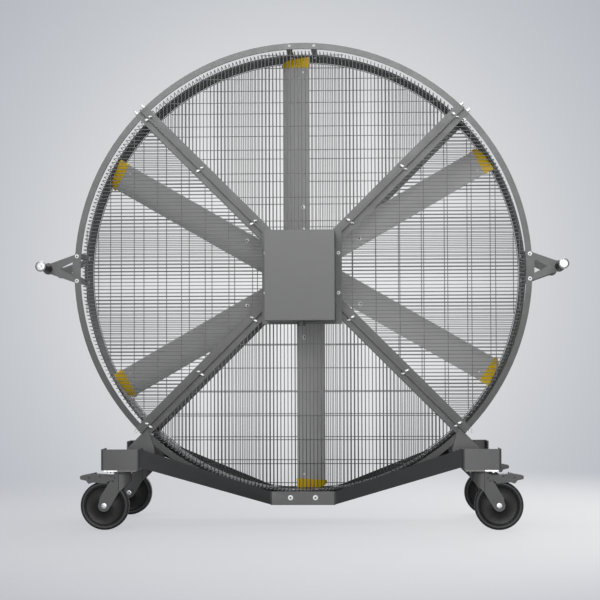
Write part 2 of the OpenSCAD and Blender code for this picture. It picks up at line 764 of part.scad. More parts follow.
// Pedal: two cheeks that turn on a pin through the fork's legs and a tread between them, drawn from the pin
cheek_out = leg_gap - 1;
cheek_t = 2.5;
pedal_len = 109;
pedal_step_x = 61;
pedal_root_x = 12;
module pedal_2d() {
    translate([pedal_pin_x, pedal_pin_z]) {
        circle(r = pedal_eye_r);
        polygon([[0, -pedal_eye_r + 0.5], [0, pedal_eye_r - 0.5], [pedal_root_x, 4], [pedal_step_x, 8],
            [pedal_step_x + 1, 11.5], [pedal_len - 3, 2.5], [pedal_len, -1], [pedal_len - 2, -9],
            [pedal_len - 20, -13], [pedal_len - 28, -23], [pedal_step_x + 5, -19], [26, -23],
            [pedal_root_x, -13]]);
    }
}
module pedal_tread_2d() {
    translate([pedal_pin_x, pedal_pin_z])
        polygon([[pedal_root_x, 1], [pedal_root_x, 4], [pedal_step_x, 8], [pedal_step_x + 1, 11.5],
            [pedal_len - 3, 2.5], [pedal_len, -1], [pedal_len - 4, -1], [pedal_step_x + 1, 8],
            [pedal_step_x, 5]]);
}
module caster_pedal(k) {
    color(BASE_GREY) at_caster(k) difference() {
        union() {
            for (s = [-1, 1]) translate([0, s > 0 ? cheek_out : -cheek_out + cheek_t, 0]) rotate([90, 0, 0])
                linear_extrude(cheek_t) pedal_2d();
            translate([0, cheek_out, 0]) rotate([90, 0, 0]) linear_extrude(cheek_out * 2) pedal_tread_2d();
        }
        translate([pedal_pin_x, 0, pedal_pin_z]) rotate([90, 0, 0])
            cylinder(d = pedal_pin_d + bore_gap * 2, h = leg_gap * 4, center = true);
    }
}
tyre_t = 17;
hub_r = wheel_r - tyre_t;
module caster_wheel(k) {
    color([0.18, 0.18, 0.18]) at_caster(k) translate([trail, 0, wheel_r]) rotate([90, 0, 0]) difference() {
        union() {
            cylinder(r = hub_r, h = tyre_w - 8, center = true);
            cylinder(d = 34, h = leg_gap * 2 - run_gap * 2, center = true);
        }
        cylinder(d = axle_d + bore_gap * 2, h = tyre_w * 2, center = true);
    }
}
module caster_tyre(k) {
    color([0.08, 0.08, 0.08]) at_caster(k) translate([trail, 0, wheel_r]) rotate([90, 0, 0])
        rotate_extrude() difference() {
            translate([hub_r + 0.1, -tyre_w / 2]) square([wheel_r - hub_r - 0.1, tyre_w]);
            for (s = [-1, 1]) translate([wheel_r, s * tyre_w / 2]) rotate(45) square(8, center = true);
        }
}

front_ring();
rear_ring();
drum_shell();
ring_straps();
for (k = [1:4]) front_strut(k);
rear_struts();
for (k = [0:3]) front_guard(k);
guard_basket();
for (k = [0:3]) rear_guard(k);
motor_plate();
motor_cover();
motor_body();
cable_gland();
bearing_plate();
shaft_bearing();
drive_shaft();
blade_hub();
for (k = [1:6]) blade(k);
blade_tips();
blade_screws();
strut_bolts();
frame_screws();
handle_brackets();
handle_rods();
handle_grips();
front_base_bar();
rear_base_bar();
caster_boxes();
gussets();
caster_plates();
for (k = [0:3]) caster_fork(k);
for (k = [0:3]) caster_pedal(k);
for (k = [0:3]) caster_wheel(k);
for (k = [0:3]) caster_tyre(k);
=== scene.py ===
# %% [markdown]
# # A wheeled drum fan
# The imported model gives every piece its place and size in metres: +Z is up, +X is right and the
# front, with the motor cover, looks along -Y. This lesson dresses it: round guard wires, curved
# blades, soft edges and finishes.

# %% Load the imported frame
import json
import math
import bmesh
import bpy
import numpy as np
from mathutils import Matrix


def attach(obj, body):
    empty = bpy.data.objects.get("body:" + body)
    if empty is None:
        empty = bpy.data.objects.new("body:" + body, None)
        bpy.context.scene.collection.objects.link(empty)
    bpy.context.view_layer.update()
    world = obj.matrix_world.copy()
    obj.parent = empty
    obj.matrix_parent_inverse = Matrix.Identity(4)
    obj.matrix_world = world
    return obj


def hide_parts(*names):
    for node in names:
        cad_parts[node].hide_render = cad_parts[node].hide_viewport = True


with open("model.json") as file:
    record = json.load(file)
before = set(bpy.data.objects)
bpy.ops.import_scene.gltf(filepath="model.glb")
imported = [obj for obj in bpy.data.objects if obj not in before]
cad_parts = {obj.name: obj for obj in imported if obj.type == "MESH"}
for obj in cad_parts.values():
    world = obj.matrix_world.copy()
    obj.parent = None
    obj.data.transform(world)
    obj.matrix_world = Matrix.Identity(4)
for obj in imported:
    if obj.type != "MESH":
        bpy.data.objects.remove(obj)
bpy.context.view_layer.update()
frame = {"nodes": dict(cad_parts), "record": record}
nodes = frame["nodes"]
slot_of = {part["node"]: part["material_slot"] for part in frame["record"]["subparts"]}

# %% [markdown]
# ## The object's own sizes
# Depths on this fan are measured back from the face of its front ring, and the frame's origin lies
# 117 mm behind that face. One small function turns such a depth into the frame's Y, so that every
# later number is a real size.

# %% Sizes shared by several pieces
MM = 0.001
AXIS_Z = 830 * MM
RING_FACE_Y = -117 * MM
REAR_FACE = 254.0


def at_depth(depth):
    """The frame's Y of a depth in millimetres behind the front ring's face."""
    return RING_FACE_Y + np.asarray(depth, float) * MM


print("front ring at", float(at_depth(0)), "rear ring at", float(at_depth(REAR_FACE)))

# %% [markdown]
# ## From arrays to pieces
# Every new surface is worked out as whole arrays. A tube or a bent sheet is a closed outline
# carried along a path, so it needs just one rule for its faces: a grid of quads that wraps round
# the outline, closed by a lid at each end.

# %% Faces of carried outlines


def tube_faces(runs, steps, around):
    """Faces of `runs` tubes, each with `steps` rings of `around` points, numbered run by run.

    A quad joins point a of ring i to point a + 1 and to ring i + 1; a lid is one polygon at each end.
    """
    run, i, a = np.meshgrid(np.arange(runs), np.arange(steps - 1), np.arange(around), indexing="ij")
    ring = (run * steps + i) * around
    after = (a + 1) % around
    quads = np.stack([ring + a, ring + after, ring + around + after, ring + around + a], -1)
    start = np.arange(runs)[:, None] * steps * around
    first = start + np.arange(around)[None, ::-1]
    last = start + (steps - 1) * around + np.arange(around)[None, :]
    return quads.reshape(-1, 4).tolist() + first.tolist() + last.tolist()


def ring_faces(steps, around):
    """Faces of a closed ring: `steps` outlines of `around` points, the last joined to the first."""
    i, a = np.meshgrid(np.arange(steps), np.arange(around), indexing="ij")
    here, there = i * around, ((i + 1) % steps) * around
    after = (a + 1) % around
    return np.stack([here + a, here + after, there + after, there + a], -1).reshape(-1, 4).tolist()


print("a tube of 3 rings of 6 points has", len(tube_faces(1, 3, 6)), "faces")

# %% Joining arrays into one piece


def add_object(name, data):
    """Adds an object with its data to the scene."""
    obj = bpy.data.objects.new(name, data)
    bpy.context.scene.collection.objects.link(obj)
    return obj


def make_piece(name, parts, body, slot, replaced=(), smooth=40):
    """Joins (points, faces) pairs into one mesh with outward faces and puts it on its body."""
    points, faces, start = [], [], 0
    for part_points, part_faces in parts:
        flat = np.asarray(part_points, float).reshape(-1, 3)
        points.append(flat)
        faces += [[v + start for v in face] for face in part_faces]
        start += len(flat)
    mesh = bpy.data.meshes.new(name)
    mesh.from_pydata(np.concatenate(points), [], faces)
    build = bmesh.new()
    build.from_mesh(mesh)
    bmesh.ops.recalc_face_normals(build, faces=build.faces)
    build.to_mesh(mesh)
    build.free()
    mesh.shade_smooth()
    mesh.set_sharp_from_angle(angle=math.radians(smooth))
    place_piece(add_object(name, mesh), body, slot, replaced)


def place_piece(piece, body, slot, replaced=()):
    """Lets a piece ride on its body, names its finish and hides the nodes that it stands for."""
    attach(piece, body)
    if replaced:
        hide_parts(*replaced)
    finish_of[piece.name] = slot


finish_of = {}
print("pieces so far:", len(finish_of))

# %% [markdown]
# ## Soft edges on folded and cast parts
# Sheet steel has no knife edges: a press leaves a radius, and paint rounds it further. The imported
# bodies have the right shape with sharp corners, so a merged copy of such a body gets a narrow
# bevel and stands in for it.

# %% A rounded copy of a imported body
SAME_POINT = 0.00001
FLAT_ANGLE = math.radians(0.6)
SHARP_ANGLE = math.radians(30)


def soften(node, width, body):
    """Copies a node's mesh, merges its triangles into flat faces and bevels the edges that are left."""
    mesh = nodes[node].data.copy()
    build = bmesh.new()
    build.from_mesh(mesh)
    bmesh.ops.remove_doubles(build, verts=build.verts, dist=SAME_POINT)
    bmesh.ops.dissolve_limit(build, angle_limit=FLAT_ANGLE, verts=build.verts, edges=build.edges)
    build.to_mesh(mesh)
    build.free()
    mesh.materials.clear()
    mesh.shade_smooth()
    mesh.set_sharp_from_angle(angle=SHARP_ANGLE)
    piece = add_object(node + "_soft", mesh)
    bevel = piece.modifiers.new("soft_edges", "BEVEL")
    bevel.width = width * MM
    bevel.segments = 2
    bevel.limit_method = "ANGLE"
    bevel.angle_limit = SHARP_ANGLE
    bevel.use_clamp_overlap = True
    bevel.harden_normals = True
    place_piece(piece, body, slot_of[node], (node,))


# %% [markdown]
# ## Guard wires
# Each guard quarter is a comb of close wires with a few cross wires welded behind it. A real wire
# is round, and on the front it bends back at the rim and runs to a rod in front of the drum. A wire
# is a circle carried along a path that stays in one plane, so the circle needs no twisting frame:
# its sides are the plane's normal and the path's own turned tangent.

# %% Round wires along flat paths
WIRE_R = 1.25 * MM
WIRE_PITCH = 12 * MM
WIRE_SIDES = 6


def wires(paths, across):
    """Circles carried along `paths` (runs, steps, 3) that lie in planes with the normals `across`.

    Ring = path + WIRE_R * (cos a * across + sin a * (tangent x across)).
    """
    paths = np.asarray(paths, float)
    tangent = np.gradient(paths, axis=1)
    tangent /= np.linalg.norm(tangent, axis=-1, keepdims=True)
    side = np.broadcast_to(np.asarray(across, float)[:, None, :], paths.shape)
    other = np.cross(tangent, side)
    angle = np.arange(WIRE_SIDES) * 2 * np.pi / WIRE_SIDES
    rings = paths[:, :, None] + WIRE_R * (
        np.cos(angle)[:, None] * side[:, :, None] + np.sin(angle)[:, None] * other[:, :, None]
    )
    return rings, tube_faces(paths.shape[0], paths.shape[1], WIRE_SIDES)


def to_frame(angle, along, depth, out):
    """Points at an angle of the drum: `along` across it and `out` from the axis in m, `depth` in mm."""
    a = math.radians(angle)
    along, depth, out = np.broadcast_arrays(along, depth, out)
    return np.stack([
        along * math.sin(a) + out * math.cos(a),
        at_depth(depth),
        AXIS_Z - along * math.cos(a) + out * math.sin(a),
    ], -1)


def across_of(angle, count):
    """The direction along a quarter's width, once for each wire."""
    a = math.radians(angle)
    return np.tile([math.sin(a), 0.0, -math.cos(a)], (count, 1))


# %% One guard quarter
RIM_R = 726.3 * MM
CORE_R = 60 * MM
BEND_R = 9 * MM
PANEL_GAP, RIM_GAP = 2 * MM, 1.8 * MM
CLOSE_HALF = 42
BENT_RUN = 103
CROSS_AT = (163 + 78 * np.arange(8)) * MM
CROSS_RIM = 723.3
CROSS_GAP, CROSS_RIM_GAP = 5 * MM, 6 * MM
ARC_HALF, ARC_POINTS = 0.782, 61


def close_wires(angle, face_depth, into, bent):
    """The comb: each wire runs from the struts or the core to the rim, where `bent` wires turn back.

    The bend is a quarter circle: depth + R (1 - cos t), out + R sin t.
    """
    off = np.arange(-CLOSE_HALF, CLOSE_HALF + 1) * WIRE_PITCH
    low = np.maximum(np.abs(off) + WIRE_R + PANEL_GAP, CORE_R)
    rim = np.sqrt(RIM_R ** 2 - (np.abs(off) + WIRE_R) ** 2) - RIM_GAP
    if bent:
        turn = np.linspace(0, np.pi / 2, 6)
        bend = (rim - BEND_R)[:, None] + BEND_R * np.sin(turn)
        out = np.concatenate([low[:, None], bend, rim[:, None]], 1)
        back = np.concatenate([[0], BEND_R * (1 - np.cos(turn)) / MM, [BENT_RUN]])
    else:
        out = np.stack([low, (low + rim) / 2, rim], 1)
        back = np.zeros(3)
    along = np.broadcast_to(off[:, None], out.shape)
    depth = face_depth + into * np.broadcast_to(back, out.shape)
    return wires(to_frame(angle, along, depth, out), across_of(angle, len(off)))


def cross_wires(angle, depth):
    """The sparse wires behind the comb, square to it, each as long as the quarter is wide there."""
    rim = np.sqrt(CROSS_RIM ** 2 * MM ** 2 - CROSS_AT ** 2)
    half = np.minimum(CROSS_AT - CROSS_GAP, rim - CROSS_RIM_GAP)
    along = half[:, None] * np.linspace(-1, 1, 3)
    path = to_frame(angle, along, depth, np.broadcast_to(CROSS_AT[:, None], along.shape))
    a = math.radians(angle)
    return wires(path, np.tile([math.cos(a), 0.0, math.sin(a)], (len(half), 1)))


def rim_arc(angle, depth):
    """A quarter of the rim rod: a circle carried along an arc about the fan's axis."""
    sweep = np.radians(angle) + np.linspace(-ARC_HALF, ARC_HALF, ARC_POINTS)
    radius = RIM_R - WIRE_R
    centre = np.stack([np.cos(sweep), np.zeros(ARC_POINTS), np.sin(sweep)], -1)
    path = centre * radius + np.array([0, float(at_depth(depth)), AXIS_Z])
    return wires(path[None], np.array([[0.0, 1.0, 0.0]]))


# %% All eight quarters and the rod in front of the drum
QUARTERS = {"top": 90, "right": 0, "bottom": 270, "left": 180}
FRONT_COMB, FRONT_CROSS, ROD_DEPTH = 1.7, 4.75, 104.5
REAR_COMB, REAR_CROSS = 252.3, 249.25
for quarter, angle in QUARTERS.items():
    front = [close_wires(angle, FRONT_COMB, 1, True), cross_wires(angle, FRONT_CROSS)]
    make_piece("front_wires_" + quarter, front, "frame", "wire_paint", ["front_guard_" + quarter])
    rear = [close_wires(angle, REAR_COMB, -1, False), cross_wires(angle, REAR_CROSS),
            rim_arc(angle, REAR_COMB)]
    make_piece("rear_wires_" + quarter, rear, "frame", "wire_paint", ["rear_guard_" + quarter])
rod = [rim_arc(angle, ROD_DEPTH) for angle in QUARTERS.values()]
make_piece("guard_rod", rod, "frame", "wire_paint", ["guard_basket"])
print("guard pieces:", len(finish_of))

# %% [markdown]
# ## Drum, struts and base
# The rings, struts, straps, bars and boxes are folded or rolled sheet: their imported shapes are
# right, so they only get soft edges. A bend radius follows the sheet: about half a millimetre on
# the thin edges, more on the cover.

# %% Soft edges on the frame's sheet parts
SHEET_PARTS = {
    "front_ring": 0.8, "rear_ring": 0.8, "ring_straps": 0.5, "front_strut_1": 0.8, "front_strut_2": 0.8,
    "front_strut_3": 0.8, "front_strut_4": 0.8, "rear_struts": 0.8, "motor_plate": 1.0,
    "motor_cover": 4.5, "motor_body": 1.0, "bearing_plate": 1.0, "shaft_bearing": 2.0,
    "handle_brackets": 0.9, "front_base_bar": 1.0, "rear_base_bar": 1.0, "caster_boxes": 1.0,
    "gussets": 0.9, "caster_plates": 0.7, "drum_shell": 0.5, "cable_gland": 0.6,
}
for node, width in SHEET_PARTS.items():
    soften(node, width, "frame")
print("softened:", len(SHEET_PARTS))

# %% [markdown]
# ## Fan blades
# A blade is one rolled steel sheet, 3 mm thick, set at 35 degrees, whose trailing edge curls back
# like a flap. Such a sheet could be a curve with thickness from a modifier. Here its section is one
# closed outline, so that both faces, both round edges and the cut tip come from the same formula.

# %% The blade's section and the place of its points
PITCH = math.radians(35)
BLADE_SIDE, BLADE_DEPTH = -25.0, 127.0
CHORD_MIDDLE, CHORD_HALF = -2.5, 57.5
SHEET = 3.0
CURL_FROM, CURL_SPAN, CURL_RISE = -8.0, 52.0, 9.0
ROOT_R, TIP_R, CAP_R = 100.0, 720.3, 684.5
TIP_FALL, TIP_SPAN = 23.5, 62.5
EASE_FROM, EASE_SPAN, EASE_DROP = 50.0, 5.0, 1.2
ROOT_ROUND, UNDER_CAP = 10.0, 4.0
CAP_START, CAP_END = -70.0, 58.5
CAP_CLIMB, CAP_HALF, CAP_LIP = 10.5, 3.7, 0.6
FACE_POINTS, BLADE_RINGS, CAP_RINGS = 33, 25, 49


def camber(u):
    """How far the sheet curls back at u mm along its chord: 9 ((-8 - u) / 52)^2, or 0 above u = -8."""
    return CURL_RISE * (np.clip(CURL_FROM - u, 0, None) / CURL_SPAN) ** 2


def tip_height(u):
    """The tip's radius: full, but eased by 1.2 mm, at one edge, and falling to the curled edge.

    It falls as an ellipse: 23.5 (1 - (1 - s^2)^0.5) mm, where s = (-8 - u) / 62.5.
    """
    s = np.clip((CURL_FROM - u) / TIP_SPAN, 0, 1)
    eased = np.clip((u - EASE_FROM) / EASE_SPAN, 0, 1)
    return TIP_R - TIP_FALL * (1 - np.sqrt(1 - s ** 2)) - EASE_DROP * eased ** 2


def cap_foot(u):
    """The radius of the cap's lower edge, which climbs by 10.5 mm towards the curled edge."""
    return CAP_R + CAP_CLIMB * (CHORD_MIDDLE + CHORD_HALF - u) / (2 * CHORD_HALF)


def blade_points(u, v, r, angle):
    """Points of the blade at an angle, in mm: u along the chord, v through the sheet, r outward."""
    along = BLADE_SIDE + u * math.cos(PITCH) + v * math.sin(PITCH)
    depth = BLADE_DEPTH - u * math.sin(PITCH) + v * math.cos(PITCH)
    return to_frame(angle, along * MM, depth, np.asarray(r, float) * MM)


def blade(angle):
    """Carries the section's closed outline from the root to just under the cap's top.

    The outline runs along the front face, round the back edge, back along the other face and round the
    front edge. The root's corners are rounded: r = 100 + 10 |across / half|^12.
    """
    run = CHORD_HALF * np.sin(np.linspace(-np.pi / 2, np.pi / 2, FACE_POINTS))
    turn = np.linspace(-np.pi / 2, np.pi / 2, 7)[1:-1]
    half = SHEET / 2
    edge, swell = CHORD_HALF + half * np.cos(turn), half * np.sin(turn)
    u = np.concatenate([run, edge, run[::-1], -edge])
    v = np.concatenate([np.zeros(FACE_POINTS), half + swell, np.full(FACE_POINTS, SHEET), half - swell])
    across = np.clip(u, -CHORD_HALF, CHORD_HALF) + CHORD_MIDDLE
    u = u + CHORD_MIDDLE
    v = v + camber(u)
    share = np.linspace(0, 1, BLADE_RINGS)[:, None]
    corner = ROOT_ROUND * (np.abs(across - CHORD_MIDDLE) / CHORD_HALF) ** 12
    r = (ROOT_R + corner) * (1 - share) + (tip_height(across) - UNDER_CAP) * share
    points = blade_points(np.broadcast_to(u, r.shape), np.broadcast_to(v, r.shape), r, angle)
    return points, tube_faces(1, BLADE_RINGS, len(u))


def tip_cap(angle):
    """A moulded cap over the tip: a U-shaped outline, carried along the chord, drawn in at both ends.

    Half thickness = 3.7 (1 - |2 (u - m) / length|^10)^0.5; its round top is centred that far below the
    tip.
    """
    share = np.sin(np.linspace(-np.pi / 2, np.pi / 2, CAP_RINGS))[:, None]
    u = (CAP_START + CAP_END) / 2 + (CAP_END - CAP_START) / 2 * share
    half = CAP_HALF * np.sqrt(np.clip(1 - np.abs(share) ** 10, 0.0004, 1))
    turn = np.linspace(0, np.pi, 9)[None, :]
    edge = np.minimum(u, CHORD_MIDDLE + CHORD_HALF)
    top = tip_height(edge) - 0.8 * share ** 8
    foot = cap_foot(edge)
    r = np.concatenate([foot, top - half + half * np.sin(turn), foot], 1)
    v = np.concatenate([-half, -half * np.cos(turn), half], 1) + SHEET / 2 + camber(edge)
    lip = CAP_LIP * (r < foot + 0.1)
    v = v + np.sign(np.linspace(-1, 1, r.shape[1]))[None, :] * lip
    return blade_points(np.broadcast_to(u, r.shape), v, r, angle), tube_faces(1, CAP_RINGS, r.shape[1])


# %% Six blades and their caps
BLADE_ANGLES = [30 + 60 * k for k in range(6)]
for number, angle in enumerate(BLADE_ANGLES, 1):
    make_piece("blade_sheet_%d" % number, [blade(angle)], "fan", "blade_paint", ["blade_%d" % number])
caps = [tip_cap(angle) for angle in BLADE_ANGLES]
make_piece("tip_caps", caps, "fan", "tip_plastic", ["blade_tips"], smooth=50)
soften("blade_hub", 1.2, "fan")
soften("drive_shaft", 1.0, "fan")
print("blades:", len(BLADE_ANGLES))

# %% [markdown]
# ## Turned and moulded round parts
# Tyres, wheel centres, sleeves and bearing cups are all turned shapes: a closed outline in radius
# and height that is carried round an axis. Spin or a Screw modifier would do it too; an array keeps
# the seam closed by construction.

# %% Outlines turned about an axis
ON_AXIS = 0.01
LONGEST_CUT = 0.48


def turned(outline, centre, axis, steps=96):
    """Turns a closed outline of (radius, height) points in mm about an axis through `centre`.

    Point = centre + radius * (cos t * one + sin t * two) + height * axis. ON_AXIS closes a solid.
    """
    axis = np.array(axis, float)
    one = np.array([0, 0, 1.0]) if abs(axis[2]) < 0.5 else np.array([1.0, 0, 0])
    two = np.cross(axis, one)
    t = np.arange(steps) * 2 * np.pi / steps
    around = np.cos(t)[:, None] * one + np.sin(t)[:, None] * two
    outline = np.array(outline, float) * MM
    radius, height = outline[None, :, :1], outline[None, :, 1:]
    points = radius * around[:, None, :] + height * axis + np.array(centre, float)
    return points, ring_faces(steps, len(outline))


def fillet(corners, radius, steps):
    """Rounds a closed outline: each corner becomes a quadratic curve between two cut points.

    A cut lies `radius` from its corner, or LONGEST_CUT of the edge's length where that is less.
    """
    corners = np.array(corners, float)

    def cut(neighbours):
        """The cut points on the edges from the corners to their neighbours."""
        edge = neighbours - corners
        length = np.linalg.norm(edge, axis=1)[:, None]
        return corners + edge / length * np.minimum(radius, LONGEST_CUT * length)

    start, end = cut(np.roll(corners, 1, 0)), cut(np.roll(corners, -1, 0))
    t = np.linspace(0, 1, steps + 1)[None, :, None]
    curve = start[:, None] * (1 - t) ** 2 + corners[:, None] * 2 * t * (1 - t) + end[:, None] * t ** 2
    return curve.reshape(-1, 2)


# %% [markdown]
# ## Bolts and screws
# The struts are clamped by bolts that cross their fins, with a washer and a nut; the handles, the
# bar, the cover and the drum have round-headed screws with a socket; the rings' lugs have a nut
# outside. Each is a turned outline, and a nut is such an outline turned in six steps.

# %% One fastener of each kind
SHANK_R, HOLE_R = 4.0, 4.05
THREAD_PITCH, THREAD_HALF = 1.25, 0.25
WASHER_TOP = 1.5
SOCKET_SHARE, SOCKET_DEPTH = 0.62, 2.2


def add_screw(screws, shade_discs, centre, axis, shank, rim, head, height):
    """Adds a socketed screw with its washer at `centre`, and a black disc of painted shade in its
    socket.
    """
    socket, floor = head * SOCKET_SHARE, height - SOCKET_DEPTH
    outline = [(ON_AXIS, -shank), (SHANK_R - 0.8, -shank), (SHANK_R, -shank + 0.8), (SHANK_R, 0),
               (rim - 0.3, 0), (rim, 0.3), (rim, 1.1), (rim - 0.4, WASHER_TOP), (head, WASHER_TOP),
               (head, height - 0.7), (head - 0.8, height), (socket + 0.1, height), (socket, floor),
               (ON_AXIS, floor)]
    screws.append(turned(outline, centre, axis, 24))
    # A thin black disc across the socket's floor: painted shade, for the shadow deep in the socket
    disc = [(ON_AXIS, -2.3), (socket + 0.05, -2.3), (socket + 0.05, -1.9), (ON_AXIS, -1.9)]
    shade_discs.append(turned([(r, height + low) for r, low in disc], centre, axis, 24))


def threaded_end(start, end):
    """Outline points of a threaded shank: radius = SHANK_R - 0.25 + 0.25 cos(2 pi height / pitch)."""
    height = np.linspace(start, end, int(abs(end - start) / THREAD_PITCH * 6) + 1)
    radius = SHANK_R - THREAD_HALF + THREAD_HALF * np.cos(2 * np.pi * height / THREAD_PITCH)
    return np.stack([radius, height], -1)


def washer(centre, axis, low, high, radius=8.0):
    """A flat washer between two heights, with eased rims."""
    outline = fillet([(HOLE_R, low), (radius, low), (radius, high), (HOLE_R, high)], 0.35, 2)
    return turned(outline, centre, axis, 32)


def hex_nut(centre, axis, low, high, corner=7.4):
    """A nut between two heights: a chamfered outline turned in six steps."""
    outline = [(HOLE_R, low), (corner - 0.9, low), (corner, low + 0.6), (corner, high - 0.6),
               (corner - 0.9, high), (HOLE_R, high)]
    return turned(outline, centre, axis, 6)


def shank_between(centre, axis, low, high):
    """A plain rod with a threaded upper end, closed at both ends."""
    foot = [(ON_AXIS, low), (3.2, low), (SHANK_R, low + 0.8)]
    thread = threaded_end(low + (high - low) * 0.4, high - 0.8)
    outline = np.concatenate([foot, thread, [(3.2, high), (ON_AXIS, high)]])
    return turned(outline, centre, axis, 20)


# %% Where they sit
STRUT_ANGLES = (45, 135, 225, 315)
BOLT_RADII = (224.0, 472.0, 712.0)
FIN_BOLT, LUG_BOLT, LUG_R, LUG_OFF = 14.0, 14.0, 745.0, 15.0
RING_SCREW_R, PAIR_HALF, HANDLE_Z = 742.0, 40.5, 840.0
BAR_SHEET = 4.0
COVER_SCREW_X, COVER_SCREW_Z, PLATE_FACE = 119.0, (55.0, -75.0), -29.0
STRAP_R, STRAP_BOLT, SHELL_INSIDE = 730.0, 138.0, 727.6
STRAP_PAIRS = ((90, 0), (270, 0), (0, 10.0), (180, -10.0))
BLADE_SCREWS, TIP_RIVET_R = (141.0, 217.0), 671.0
# Each screw's shank length, washer radius, head radius and height
RING_SCREW = (16.0, 6.6, 4.0, 4.2)
BAR_SCREW = (18.0, 8.4, 4.6, 5.6)
COVER_SCREW = (12.0, 5.6, 3.8, 4.0)
SHELL_SCREW = (14.0, 4.2, 6.2, 4.0)
BLADE_SCREW = (17.0, 8.0, 6.0, 5.6)


def spoke(degrees, across, depth, out):
    """A place in mm at an angle of the drum, with the outward and sideways directions there."""
    a = math.radians(degrees)
    outward = np.array([math.cos(a), 0, math.sin(a)])
    sideways = np.array([math.sin(a), 0, -math.cos(a)])
    place = outward * out * MM + sideways * across * MM + np.array([0, float(at_depth(depth)), AXIS_Z])
    return place, outward, sideways


def strut_bolt(degrees, radius, depth):
    """A bolt across both fins: domed head on one side, nut on the other, a washer under each."""
    centre, _, sideways = spoke(degrees, 0, depth, radius)
    fins, seat = 3.2, 4.7
    head = [(ON_AXIS, seat), (7.3, seat), (7.3, 7.4), (5.9, 9.6), (2.8, 10.4), (ON_AXIS, 10.5)]
    return [turned(fillet(head, 0.6, 2), centre, sideways, 24), washer(centre, sideways, fins, seat),
            washer(centre, sideways, -seat, -fins), hex_nut(centre, sideways, -10.8, -seat, 7.5),
            shank_between(centre, -sideways, -4.9, 14.0)]


def lug_bolt(degrees, across, depth):
    """A bolt through a ring's lug: head inside, washer, nut and threaded end outside."""
    centre, outward, _ = spoke(degrees, across, depth, LUG_R)
    head = [(ON_AXIS, -4.8), (4.6, -4.8), (5.1, -4.2), (5.1, 0), (ON_AXIS, 0)]
    lug, seat = 4.0, 5.8
    return [turned(head, centre, outward, 24), washer(centre, outward, lug, seat, 10.0),
            hex_nut(centre, outward, seat, 13.4, 8.6), shank_between(centre, outward, -0.2, 21.0)]


bolts = []
for degrees in STRUT_ANGLES:
    for radius in BOLT_RADII:
        bolts += strut_bolt(degrees, radius, -FIN_BOLT)
    for radius in (BOLT_RADII[0], BOLT_RADII[2]):
        bolts += strut_bolt(degrees, radius, REAR_FACE + FIN_BOLT)
    for across in (-LUG_OFF, LUG_OFF):
        bolts += lug_bolt(degrees, across, LUG_BOLT) + lug_bolt(degrees, across, REAR_FACE - LUG_BOLT)
make_piece("strut_and_lug_bolts", bolts, "frame", "bright_steel", ["strut_bolts"])

screws, frame_shade_discs = [], []
bar_drop = math.sqrt(RING_SCREW_R ** 2 - PAIR_HALF ** 2)
for face, outward in ((0.0, -1), (REAR_FACE, 1)):
    for side in (-1, 1):
        for up in (-PAIR_HALF, PAIR_HALF):
            spot = (side * RING_SCREW_R * MM, float(at_depth(face)), (HANDLE_Z + up) * MM)
            add_screw(screws, frame_shade_discs, spot, (0, outward, 0), *RING_SCREW)
        bar_face = float(at_depth(face + outward * BAR_SHEET))
        spot = (side * PAIR_HALF * MM, bar_face, AXIS_Z - bar_drop * MM)
        add_screw(screws, frame_shade_discs, spot, (0, outward, 0), *BAR_SCREW)
for side in (-1, 1):
    for up in COVER_SCREW_Z:
        spot = (side * COVER_SCREW_X * MM, float(at_depth(PLATE_FACE)), AXIS_Z + up * MM)
        add_screw(screws, frame_shade_discs, spot, (0, -1, 0), *COVER_SCREW)
for around, up in STRAP_PAIRS:
    for off in (-PAIR_HALF, PAIR_HALF):
        degrees = around + math.degrees(math.asin((off + up) / STRAP_R))
        centre, outward, _ = spoke(degrees, 0, STRAP_BOLT, SHELL_INSIDE)
        add_screw(screws, frame_shade_discs, centre, -outward, *SHELL_SCREW)
make_piece("ring_and_cover_screws", screws, "frame", "bright_steel", ["frame_screws"])
# Black discs in the frame screws' sockets: painted shade
make_piece("frame_socket_shade_discs", frame_shade_discs, "frame", "black_plastic")

fixings, blade_shade_discs = [], []
middle = -BLADE_SIDE / math.cos(PITCH)
for degrees in BLADE_ANGLES:
    for radius in BLADE_SCREWS:
        here = blade_points(middle, 0.0, radius, degrees)
        through = blade_points(middle, 1.0, radius, degrees) - here
        through /= np.linalg.norm(through)
        add_screw(fixings, blade_shade_discs, here, -through, *BLADE_SCREW)
        fixings.append(hex_nut(here, through, 9.0, 15.4))
    rivet = [(ON_AXIS, -0.5), (3.6, -0.5), (3.3, 0.9), (2.0, 1.7), (ON_AXIS, 2.0)]
    fixings.append(turned(rivet, blade_points(middle, 0.0, TIP_RIVET_R, degrees), -through, 20))
make_piece("blade_fixings", fixings, "fan", "zinc_plate", ["blade_screws"])
# Black discs in the blade screws' sockets: painted shade
make_piece("blade_screw_sockets", blade_shade_discs, "fan", "black_plastic")
print("fasteners:", len(bolts) + len(screws) + len(fixings), "parts")

# %% [markdown]
# ## Casters
# Each of the four casters is a plate with a bearing cup, a pressed fork that carries the wheel
# behind the swivel axis, and a pedal that brakes the wheel. The wheel is a solid rubber tyre on a
# moulded centre with a dished web, thin ribs and a groove where the two meet.

# %% Places of the four casters
SWIVEL_X, SWIVEL_OFF, TRAIL, WHEEL_R = 568.0, 160.0, 55.0, 77.0
CASTERS = {
    "fl": (-1, -SWIVEL_OFF), "fr": (1, -SWIVEL_OFF),
    "rl": (-1, REAR_FACE + SWIVEL_OFF), "rr": (1, REAR_FACE + SWIVEL_OFF),
}

# %% Tyre and wheel centre


